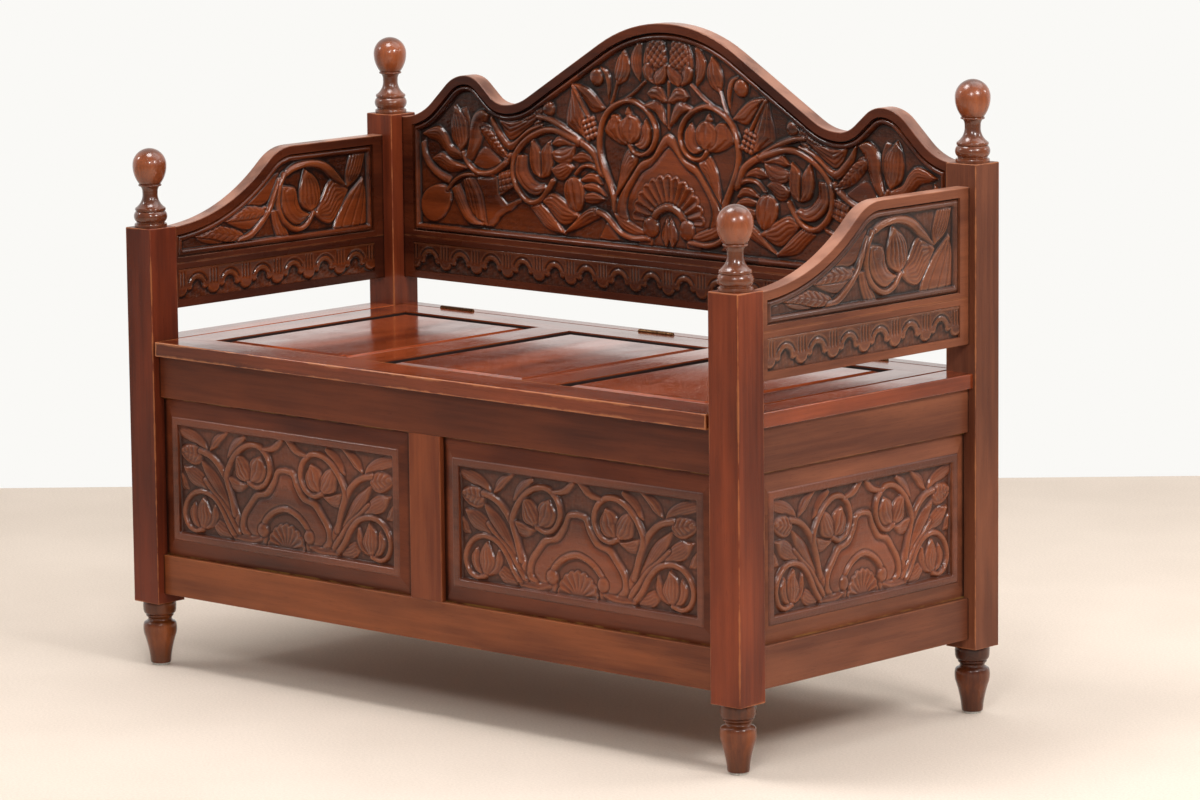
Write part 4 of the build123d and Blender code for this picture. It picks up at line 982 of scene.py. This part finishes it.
def make_arris_wear_and_highlight():
    """How worn the wood is along the arrises of a box from Low to High, and how much painted highlight it
    carries there, broken up by noise.
    """
    inputs = [("Place", "vector"), ("Low", "vector"), ("High", "vector"), ("Reach", "value")]
    net, given, out = new_group("worn arris", inputs, [("Wear", "value")])
    place = given["Place"]
    x, y, z = inside_box(net, given)
    middle = net.math("MAXIMUM", net.math("MINIMUM", x, y), net.math("MINIMUM", net.math("MAXIMUM", x, y), z))
    broken = net.ramp(net.noise(place, (18.0, 18.0, 18.0), 4.0, 0.65), 0.35, 0.7, 0.25, 1.5)
    reach = net.math("MULTIPLY", given["Reach"], broken)
    net.feed(out["Wear"], net.ramp(net.math("DIVIDE", middle, reach), 0.25, 1.0, 1.0, 0.0))
    return net.tree


def make_turned_shade():
    """Painted shade in the coves of a turned piece, 1 at the inner radius and 0 at the outer, and past a
    level.

    With Way at 1 it is dark below the level, and with Way at -1 above it.
    """
    inputs = [("Place", "vector"), ("Axis", "vector"), ("Inner", "value"), ("Outer", "value"),
              ("Level", "value"), ("Way", "value")]
    net, given, out = new_group("turned shade", inputs, [("Shade", "value")])
    flat = net.vector("MULTIPLY", net.vector("SUBTRACT", given["Place"], given["Axis"]), (1.0, 1.0, 0.0))
    length = net.node("ShaderNodeVectorMath", operation="LENGTH")
    net.feed(length.inputs[0], flat)
    cove = net.ramp(length.outputs["Value"], given["Inner"], given["Outer"], 1.0, 0.0)
    under = net.math("SUBTRACT", given["Level"], net.parts(given["Place"])[2])
    past = net.math("MULTIPLY", given["Way"], under)
    net.feed(out["Shade"], net.math("MAXIMUM", cove, net.ramp(past, -3 * mm, 3 * mm, 0.0, 0.75)))
    return net.tree


def make_seam_shadow_and_wax():
    """Round a panel: painted shadow in the gap at its ends, and a broken line of old wax above and below."""
    inputs = [("Place", "vector"), ("Low", "vector"), ("High", "vector")]
    net, given, out = new_group("seam dirt", inputs, [("Gap", "value"), ("Wax", "value")])
    place = given["Place"]
    x, y, z = inside_box(net, given)
    edge = tongue_depth * mm
    # Painted shadow at the panel's ends
    net.feed(out["Gap"], net.ramp(net.math("MAXIMUM", x, y), edge + 3.5 * mm, edge + 11 * mm, 1.0, 0.0))
    broken = net.ramp(net.noise(place, (26.0, 26.0, 90.0), 4.0, 0.6), 0.4, 0.62)
    line = net.ramp(z, edge + 1.4 * mm, edge + 3.4 * mm, 1.0, 0.0)
    net.feed(out["Wax"], net.math("MULTIPLY", line, broken))
    return net.tree


def make_groove_shade():
    """Painted shade in the grooves of the lid, between the levels called Foot and Brim."""
    inputs = [("Place", "vector"), ("Foot", "value"), ("Brim", "value"), ("Ease", "value")]
    net, given, out = new_group("groove shade", inputs, [("Shade", "value")])
    z = net.parts(given["Place"])[2]
    over = net.ramp(z, net.math("SUBTRACT", given["Brim"], given["Ease"]), given["Brim"], 1.0, 0.0)
    under = net.ramp(z, given["Foot"], net.math("ADD", given["Foot"], 1.0 * mm), 0.0, 1.0)
    net.feed(out["Shade"], net.math("MULTIPLY", over, under))
    return net.tree


grain = make_grain()
arris_wear_and_highlight = make_arris_wear_and_highlight()
turned_shade = make_turned_shade()
seam_shadow_and_wax = make_seam_shadow_and_wax()
groove_shade = make_groove_shade()


def new_material(name):
    """A material with its shader and the place that its patterns read."""
    made = bpy.data.materials.new(name)
    made.use_nodes = True
    net = Net(made.node_tree)
    shader = made.node_tree.nodes["Principled BSDF"]
    place = net.node("ShaderNodeTexCoord").outputs["Object"]
    return made, net, shader, place


def turned_grain(net, place, along, shift):
    """The place turned so that X runs along the grain, and shifted so that boards differ."""
    turn = {0: (0, 0, 0), 1: (0, 0, -pi / 2), 2: (0, pi / 2, 0)}[along]
    mapping = net.node("ShaderNodeMapping")
    net.feed(mapping.inputs["Vector"], place)
    mapping.inputs["Location"].default_value = shift
    mapping.inputs["Rotation"].default_value = turn
    return mapping.outputs[0]


def bump(net, shader, height, distance, strength):
    """A fine relief in the finish."""
    made = net.node("ShaderNodeBump")
    made.inputs["Strength"].default_value = strength
    made.inputs["Distance"].default_value = distance
    net.feed(made.inputs["Height"], height)
    net.feed(shader.inputs["Normal"], made.outputs[0])


# Tones of the stain, from light to dark, and how matt the lacquer is
tones = {
    "rail": ((112, 54, 29), (64, 26, 14), 0.36),
    # A lighter copy of the rail stain: painted light on the front bottom rail, which the lid's overhang does
    # not shade
    "low rail in painted light": ((140, 76, 41), (76, 33, 18), 0.36),
    "post": ((134, 60, 32), (72, 27, 14), 0.33),
    # A darker copy of the post stain: painted shade on the front left post, away from the lamps
    "post in painted shade": ((112, 47, 26), (56, 20, 11), 0.33),
    "muntin": ((148, 78, 44), (96, 42, 22), 0.36),
    "board": ((90, 40, 20), (46, 17, 9), 0.28),
    "side": ((132, 76, 50), (82, 42, 27), 0.42),
    "seat": ((150, 68, 34), (90, 35, 17), 0.13),
    "lid rail": ((134, 60, 30), (72, 27, 13), 0.18),
    "turned": ((156, 82, 43), (92, 42, 22), 0.2),
    "foot": ((146, 76, 34), (64, 26, 13), 0.24),
    "carved": ((130, 67, 41), (78, 37, 22), 0.32),
    "back": ((130, 59, 25), (38, 13, 7), 0.16),
    "frieze": ((96, 45, 24), (40, 15, 8), 0.22),
    "arm": ((122, 70, 48), (58, 28, 18), 0.26),
    "inner": ((164, 118, 78), (128, 86, 54), 0.62),
}
# Colour of worn wood, also used for painted highlights on arrises and ridges
wear_and_highlight_colour = paint(190, 118, 70)
# Near-black for glaze in the carving's recesses, for painted shade in coves, grooves and panel gaps, and for
# the darkened ends of rails at their posts
glaze_and_shade_colour = paint(18, 7, 5)
seam_dust = paint(168, 128, 66)
# Painted sheen: the pale reflection on the up-facing tops of the shaped boards
painted_top_sheen = paint(188, 132, 106)


def shift_for(name):
    """A steady shift of the grain for a piece, from its name."""
    number = sum((i + 1) * ord(letter) for i, letter in enumerate(name))
    return (number % 17 * 0.37, number % 23 * 0.29, number % 29 * 0.23)


def attribute(net, name):
    """A value kept in a mesh."""
    made = net.node("ShaderNodeAttribute", attribute_name=name)
    return made.outputs["Fac"]


def mark_upward(piece):
    """Keeps how far each face looks up, for the painted pale sheen on the tops of the shaped boards."""
    normals = np.empty(3 * len(piece.data.polygons), np.float32)
    piece.data.polygons.foreach_get("normal", normals)
    layer = piece.data.attributes.new("upward", "FLOAT", "FACE")
    layer.data.foreach_set("value", np.clip(normals[2::3], 0, 1))


def stained_wood(net, place, name, tone, along):
    """The grain of a piece in the colours of its stain."""
    light, dark, _ = tones[tone]
    turned = turned_grain(net, place, along, shift_for(name))
    return net.group(grain, Place=turned, Light=paint(*light), Dark=paint(*dark))


def lacquer(shader, specular, coat, coat_roughness):
    """How the lacquer shines over the wood."""
    shader.inputs["Specular IOR Level"].default_value = specular
    shader.inputs["Coat Weight"].default_value = coat
    shader.inputs["Coat Roughness"].default_value = coat_roughness


def seamed(net, node, place, colour):
    """A carved panel's colour with painted shadow in the gaps at its ends and the wax along its frame."""
    low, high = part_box(node)
    seam = net.group(seam_shadow_and_wax, Place=place, Low=low, High=high)
    # Painted shadow at the ends
    colour = net.mix(net.math("MULTIPLY", seam["Gap"], 0.85), colour, glaze_and_shade_colour)
    return net.mix(net.math("MULTIPLY", seam["Wax"], 0.5), colour, seam_dust)


def grooved(net, node, place, colour):
    """The painted shade in the grooves round the lid's panels: its share, and the colour with it in it."""
    low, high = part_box(node)
    middle = (low.z + high.z) / 2
    if node.endswith("panel"):
        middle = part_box("lid_front_rail")[0].z + seat_half * mm
        brim, ease = middle + 8.4 * mm, 2.4 * mm
    else:
        brim, ease = high.z - 1.4 * mm, 1.2 * mm
    shade = net.group(groove_shade, Place=place, Foot=middle, Brim=brim, Ease=ease)["Shade"]
    return shade, net.mix(net.math("MULTIPLY", shade, 0.96), colour, glaze_and_shade_colour)


def joined(net, along, place, colour):
    """The colour of a rail or board, darkened towards its ends where it meets its posts."""
    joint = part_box("rear_right_post")[0][along]
    reach = net.math("ABSOLUTE", net.parts(place)[along])
    shade = net.ramp(reach, joint - joint_dark_reach * mm, joint - 0.3 * mm, 0.0, 0.85)
    return net.mix(shade, colour, glaze_and_shade_colour)


def board_finish(node, tone, along, reach=2.6, arris_wear_and_highlight_share=0.25):
    """Lacquered wood on a straight piece, worn and with a painted highlight along its arrises."""
    gloss = tones[tone][2]
    made, net, shader, place = new_material(f"{node} finish")
    wood = stained_wood(net, place, node, tone, along)
    low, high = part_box(node)
    wear_and_highlight = net.group(arris_wear_and_highlight, Place=place, Low=low, High=high, Reach=reach * mm)["Wear"]
    # Wear and painted highlight along the arrises
    colour = net.mix(net.math("MULTIPLY", wear_and_highlight, arris_wear_and_highlight_share), wood["Colour"], wear_and_highlight_colour)
    if node in carved_panels:
        colour = seamed(net, node, place, colour)
    elif along < 2 and tone in ("rail", "low rail in painted light", "side", "board"):
        colour = joined(net, along, place, colour)
    if node in shaped_boards:
        # Painted reflection: up-facing faces paler, in patches
        patchy = net.ramp(net.noise(place, (14.0, 14.0, 14.0), 4.0), 0.35, 0.65, 0.15, 0.6)
        colour = net.mix(net.math("MULTIPLY", attribute(net, "upward"), patchy), colour, painted_top_sheen)
    glossy = tone in ("seat", "lid rail")
    matt = net.ramp(wood["Sheen"], 0.3, 0.7, gloss - 0.05, gloss + 0.09)
    lacquer(shader, 0.42 if glossy else 0.22, 0.22 if glossy else 0.05, 0.1)
    if node.startswith("lid") and node != "lid_front_rail":
        # Painted shade in the lid's grooves, which also dulls the lacquer there
        shade, colour = grooved(net, node, place, colour)
        matt = net.math("ADD", matt, net.math("MULTIPLY", shade, 0.5))
        net.feed(shader.inputs["Coat Weight"], net.ramp(shade, 0.0, 0.5, 0.22, 0.0))
    net.feed(shader.inputs["Base Color"], colour)
    net.feed(shader.inputs["Roughness"], matt)
    bump(net, shader, wood["Height"], 0.0002, 0.12 if glossy else 0.3)
    return made


def turned_finish(node, tone):
    """Lacquered wood on a turned piece, with painted shade in its coves and past a level."""
    gloss = tones[tone][2]
    made, net, shader, place = new_material(f"{node} finish")
    wood = stained_wood(net, place, node, tone, 2)
    low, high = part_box(node)
    outer = (high.x - low.x) / 2
    if tone == "turned":
        level, way = high.z - ball_height * mm, 1.0
    else:
        level, way = foot_bulb[1][1] * mm, -1.0
    shade = net.group(turned_shade, Place=place, Axis=(low + high) / 2, Inner=0.5 * outer,
                      Outer=0.97 * outer, Level=level, Way=way)["Shade"]
    # Painted shade in the coves, below a finial's ball and above a foot's bulb
    colour = net.mix(net.math("MULTIPLY", shade, 0.6), wood["Colour"], glaze_and_shade_colour)
    net.feed(shader.inputs["Base Color"], colour)
    net.feed(shader.inputs["Roughness"], net.ramp(wood["Sheen"], 0.3, 0.7, gloss - 0.05, gloss + 0.08))
    lacquer(shader, 0.5 if tone == "turned" else 0.3, 0.3, 0.08)
    bump(net, shader, wood["Height"], 0.0002, 0.3)
    return made


def carved_finish(name, tone, along, glaze_and_shade_share, ridge_wear_and_highlight_share):
    """Carved wood: dark glaze and painted shade in the recesses, ridges lightened by rubbed wear and a
    painted highlight.
    """
    gloss = tones[tone][2]
    made, net, shader, place = new_material(name)
    wood = stained_wood(net, place, name, tone, along)
    recess = attribute(net, "recess")
    ridge = attribute(net, "ridge")
    # Glaze and painted shade in the recesses
    colour = net.mix(net.math("MULTIPLY", recess, glaze_and_shade_share), wood["Colour"], glaze_and_shade_colour)
    # Rubbed wear and painted highlight on the ridges
    colour = net.mix(net.math("MULTIPLY", ridge, ridge_wear_and_highlight_share), colour, wear_and_highlight_colour)
    net.feed(shader.inputs["Base Color"], colour)
    uneven = net.math("MULTIPLY", wood["Sheen"], 0.16)
    matt = net.ramp(recess, 0.0, 1.0, gloss - 0.1, gloss + 0.16)
    net.feed(shader.inputs["Roughness"], net.math("ADD", matt, uneven))
    lacquer(shader, 0.2 if tone in ("back", "frieze") else 0.3, 0.4 if tone == "back" else 0.25, 0.07)
    gouged = net.math("MULTIPLY", net.noise(place, (170.0, 170.0, 170.0), 3.0), 4.0)
    bump(net, shader, net.math("ADD", wood["Height"], gouged), 0.0003, 0.5)
    return made


def metal_finish():
    """Dull brass of the hinges, darkened in patches."""
    made, net, shader, place = new_material("hinge metal")
    patches = net.ramp(net.noise(place, (240.0, 240.0, 240.0), 4.0, 0.6), 0.35, 0.7)
    net.feed(shader.inputs["Base Color"], net.mix(patches, paint(136, 98, 66), paint(86, 58, 38)))
    net.feed(shader.inputs["Roughness"], net.ramp(patches, 0.0, 1.0, 0.3, 0.55))
    shader.inputs["Metallic"].default_value = 1.0
    return made


def glide_finish():
    """Off-white moulded plastic, scuffed."""
    made, net, shader, place = new_material("glide plastic")
    scuffs = net.ramp(net.noise(place, (420.0, 420.0, 420.0), 3.0, 0.6), 0.4, 0.75)
    net.feed(shader.inputs["Base Color"], net.mix(scuffs, paint(206, 204, 198), paint(172, 168, 160)))
    net.feed(shader.inputs["Roughness"], net.ramp(scuffs, 0.0, 1.0, 0.4, 0.65))
    return made


def set_finish(piece, material):
    """Gives a piece one material."""
    piece.data.materials.clear()
    piece.data.materials.append(material)


def finish_frame(feet):
    """A finish for each piece of the frame, by what it is, and for the turned feet."""
    metal = metal_finish()
    plastic = glide_finish()
    for name, piece in nodes.items():
        low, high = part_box(name)
        size = high - low
        along = max(range(3), key=lambda axis: size[axis])
        if name in hinge_pieces:
            set_finish(piece, metal)
        elif name == "foot_glides":
            set_finish(piece, plastic)
        elif name.endswith("finial"):
            set_finish(piece, turned_finish(name, "turned"))
        elif name.endswith("foot"):
            stain = turned_finish(name, "foot")
            set_finish(piece, stain)
            set_finish(feet[name], stain)
        else:
            if name in shaped_boards:
                mark_upward(piece)
            # How far the arris wear and painted highlight reach, and how strong they are
            reach, arris_wear_and_highlight_share = 2.2, 0.14
            if name == "lid_front_rail":
                reach, arris_wear_and_highlight_share = 3.6, 0.55
            elif name.endswith("post"):
                reach, arris_wear_and_highlight_share = 2.4, 0.4
            set_finish(piece, board_finish(name, tone_for(name), along, reach, arris_wear_and_highlight_share))


def tone_for(name):
    """The stain of a straight piece."""
    if name in inner_pieces:
        return "inner"
    if name == "lid_front_rail":
        return "lid rail"
    if name.startswith("right_arm") or "side" in name or name == "rear_right_post":
        return "side"
    if name.endswith("post"):
        # The front left post takes the darker copy: painted shade
        return "post in painted shade" if name == "front_left_post" else "post"
    if name.endswith("front_muntin"):
        return "muntin"
    if name.startswith("lid") or name.endswith("seat_strip") or name == "hinge_rail":
        return "seat"
    if "arm" in name or name.startswith("back"):
        return "board"
    # The front bottom rail takes the lighter copy: painted light
    return "low rail in painted light" if name == "front_bottom_rail" else "rail"


def finish_carving(pieces):
    """A carved finish for each field: the back and the left arm darkest, the panels palest."""
    for piece in pieces:
        low = np.array(piece.bound_box).min(0)
        high = np.array(piece.bound_box).max(0)
        along = int((high - low).argmax())
        if piece.name.startswith("back") or piece.name.startswith("left_arm"):
            tone = "frieze" if piece.name == "back_frieze" else "back"
            glaze_and_shade_share, share = 0.97, 0.08
        elif "arm" in piece.name:
            tone, glaze_and_shade_share, share = "arm", 0.92, 0.14
        else:
            tone, glaze_and_shade_share, share = "carved", 0.64, 0.14
        set_finish(piece, carved_finish(piece.name + " finish", tone, along, glaze_and_shade_share, share))


# Room, light and camera

camera_place = (5.0483, -5.4104, 1.5719)
camera_heading = -0.7418
camera_dip = -0.1552
camera_roll = -0.0103
camera_lens = 158.8
sensor_width = 36.0
wall_distance = 1.72
room_width = 30.0
lamp_aim = (0.0, 0.0, 0.5)
lamps = (((-0.2, -0.5, 2.6), 0.8, 30.0), ((0.8, 0.9, 2.8), 2.0, 26.0), ((-2.4, -1.6, 2.2), 0.4, 10.0),
         ((2.9, -0.4, 2.2), 0.7, 46.0), ((2.2, -2.6, 2.2), 0.6, 40.0), ((2.3, 2.2, 2.0), 0.4, 9.0))
sky_colour = (1.0, 0.985, 0.96, 1.0)
sky_strength = 0.35
floor_colour = paint(228, 213, 199)
tread_colour = paint(208, 193, 179)
wall_colour = paint(250, 249, 246)


def view_axes():
    """The camera's right, up and forward directions."""
    ahead = Vector((sin(camera_heading), cos(camera_heading), 0))
    level = Vector((cos(camera_heading), -sin(camera_heading), 0))
    forward = ahead * cos(camera_dip) + Vector((0, 0, sin(camera_dip)))
    upright = level.cross(forward)
    right = level * cos(camera_roll) + upright * sin(camera_roll)
    up = upright * cos(camera_roll) - level * sin(camera_roll)
    return right, up, forward


def make_camera():
    """The camera where the photographer stood."""
    bpy.ops.object.camera_add(location=camera_place)
    camera = bpy.context.object
    right, up, forward = view_axes()
    turn = Matrix((right, up, -forward)).transposed()
    camera.matrix_world = Matrix.Translation(camera_place) @ turn.to_4x4()
    camera.data.lens = camera_lens
    camera.data.sensor_width = sensor_width
    bpy.context.scene.camera = camera


def make_floor():
    """A pale carpet."""
    bpy.ops.mesh.primitive_plane_add(size=room_width)
    floor = bpy.context.object
    floor.name = "floor"
    made, net, shader, place = new_material("carpet")
    pile = net.noise(place, (260.0, 260.0, 260.0), 5.0, 0.7)
    tread = net.noise(place, (2.2, 2.2, 2.2), 3.0)
    share = net.math("ADD", net.ramp(pile, 0.3, 0.7, 0.0, 0.6), net.ramp(tread, 0.3, 0.7, 0.0, 0.3))
    net.feed(shader.inputs["Base Color"], net.mix(share, floor_colour, tread_colour))
    shader.inputs["Roughness"].default_value = 0.95
    shader.inputs["Specular IOR Level"].default_value = 0.1
    bump(net, shader, pile, 0.002, 0.5)
    set_finish(floor, made)


def make_wall():
    """A white wall square to the view, which nothing sees from behind."""
    heading = Vector((sin(camera_heading), cos(camera_heading), 0))
    turn = heading.to_track_quat("-Z", "Y").to_euler()
    bpy.ops.mesh.primitive_plane_add(size=room_width, location=heading * wall_distance, rotation=turn)
    wall = bpy.context.object
    wall.name = "wall"
    made = bpy.data.materials.new("white wall")
    made.use_nodes = True
    net = Net(made.node_tree)
    made.node_tree.nodes.remove(made.node_tree.nodes["Principled BSDF"])
    glow = net.node("ShaderNodeEmission")
    glow.inputs["Color"].default_value = wall_colour
    glow.inputs["Strength"].default_value = 1.0
    clear = net.node("ShaderNodeBsdfTransparent")
    choose = net.node("ShaderNodeMixShader")
    net.feed(choose.inputs[0], net.node("ShaderNodeNewGeometry").outputs["Backfacing"])
    net.feed(choose.inputs[1], glow.outputs[0])
    net.feed(choose.inputs[2], clear.outputs[0])
    net.feed(made.node_tree.nodes["Material Output"].inputs["Surface"], choose.outputs[0])
    set_finish(wall, made)


def make_light():
    """Soft light from a pale room and the lamps of its ceiling."""
    world = bpy.data.worlds.new("studio")
    bpy.context.scene.world = world
    world.use_nodes = True
    background = world.node_tree.nodes["Background"]
    background.inputs["Color"].default_value = sky_colour
    background.inputs["Strength"].default_value = sky_strength
    for place, size, power in lamps:
        bpy.ops.object.light_add(type="AREA", location=place)
        lamp = bpy.context.object
        lamp.rotation_euler = (Vector(lamp_aim) - Vector(place)).to_track_quat("-Z", "Y").to_euler()
        lamp.data.size = size
        lamp.data.energy = power


carvings = back_fields() + panel_fields() + arm_fields() + back_frieze()
feet = {name: turned_foot(name) for name in nodes if name.endswith("foot")}
finish_frame(feet)
finish_carving(carvings)
make_floor()
make_wall()
make_light()
make_camera()
bpy.context.scene.view_settings.view_transform = "Standard"
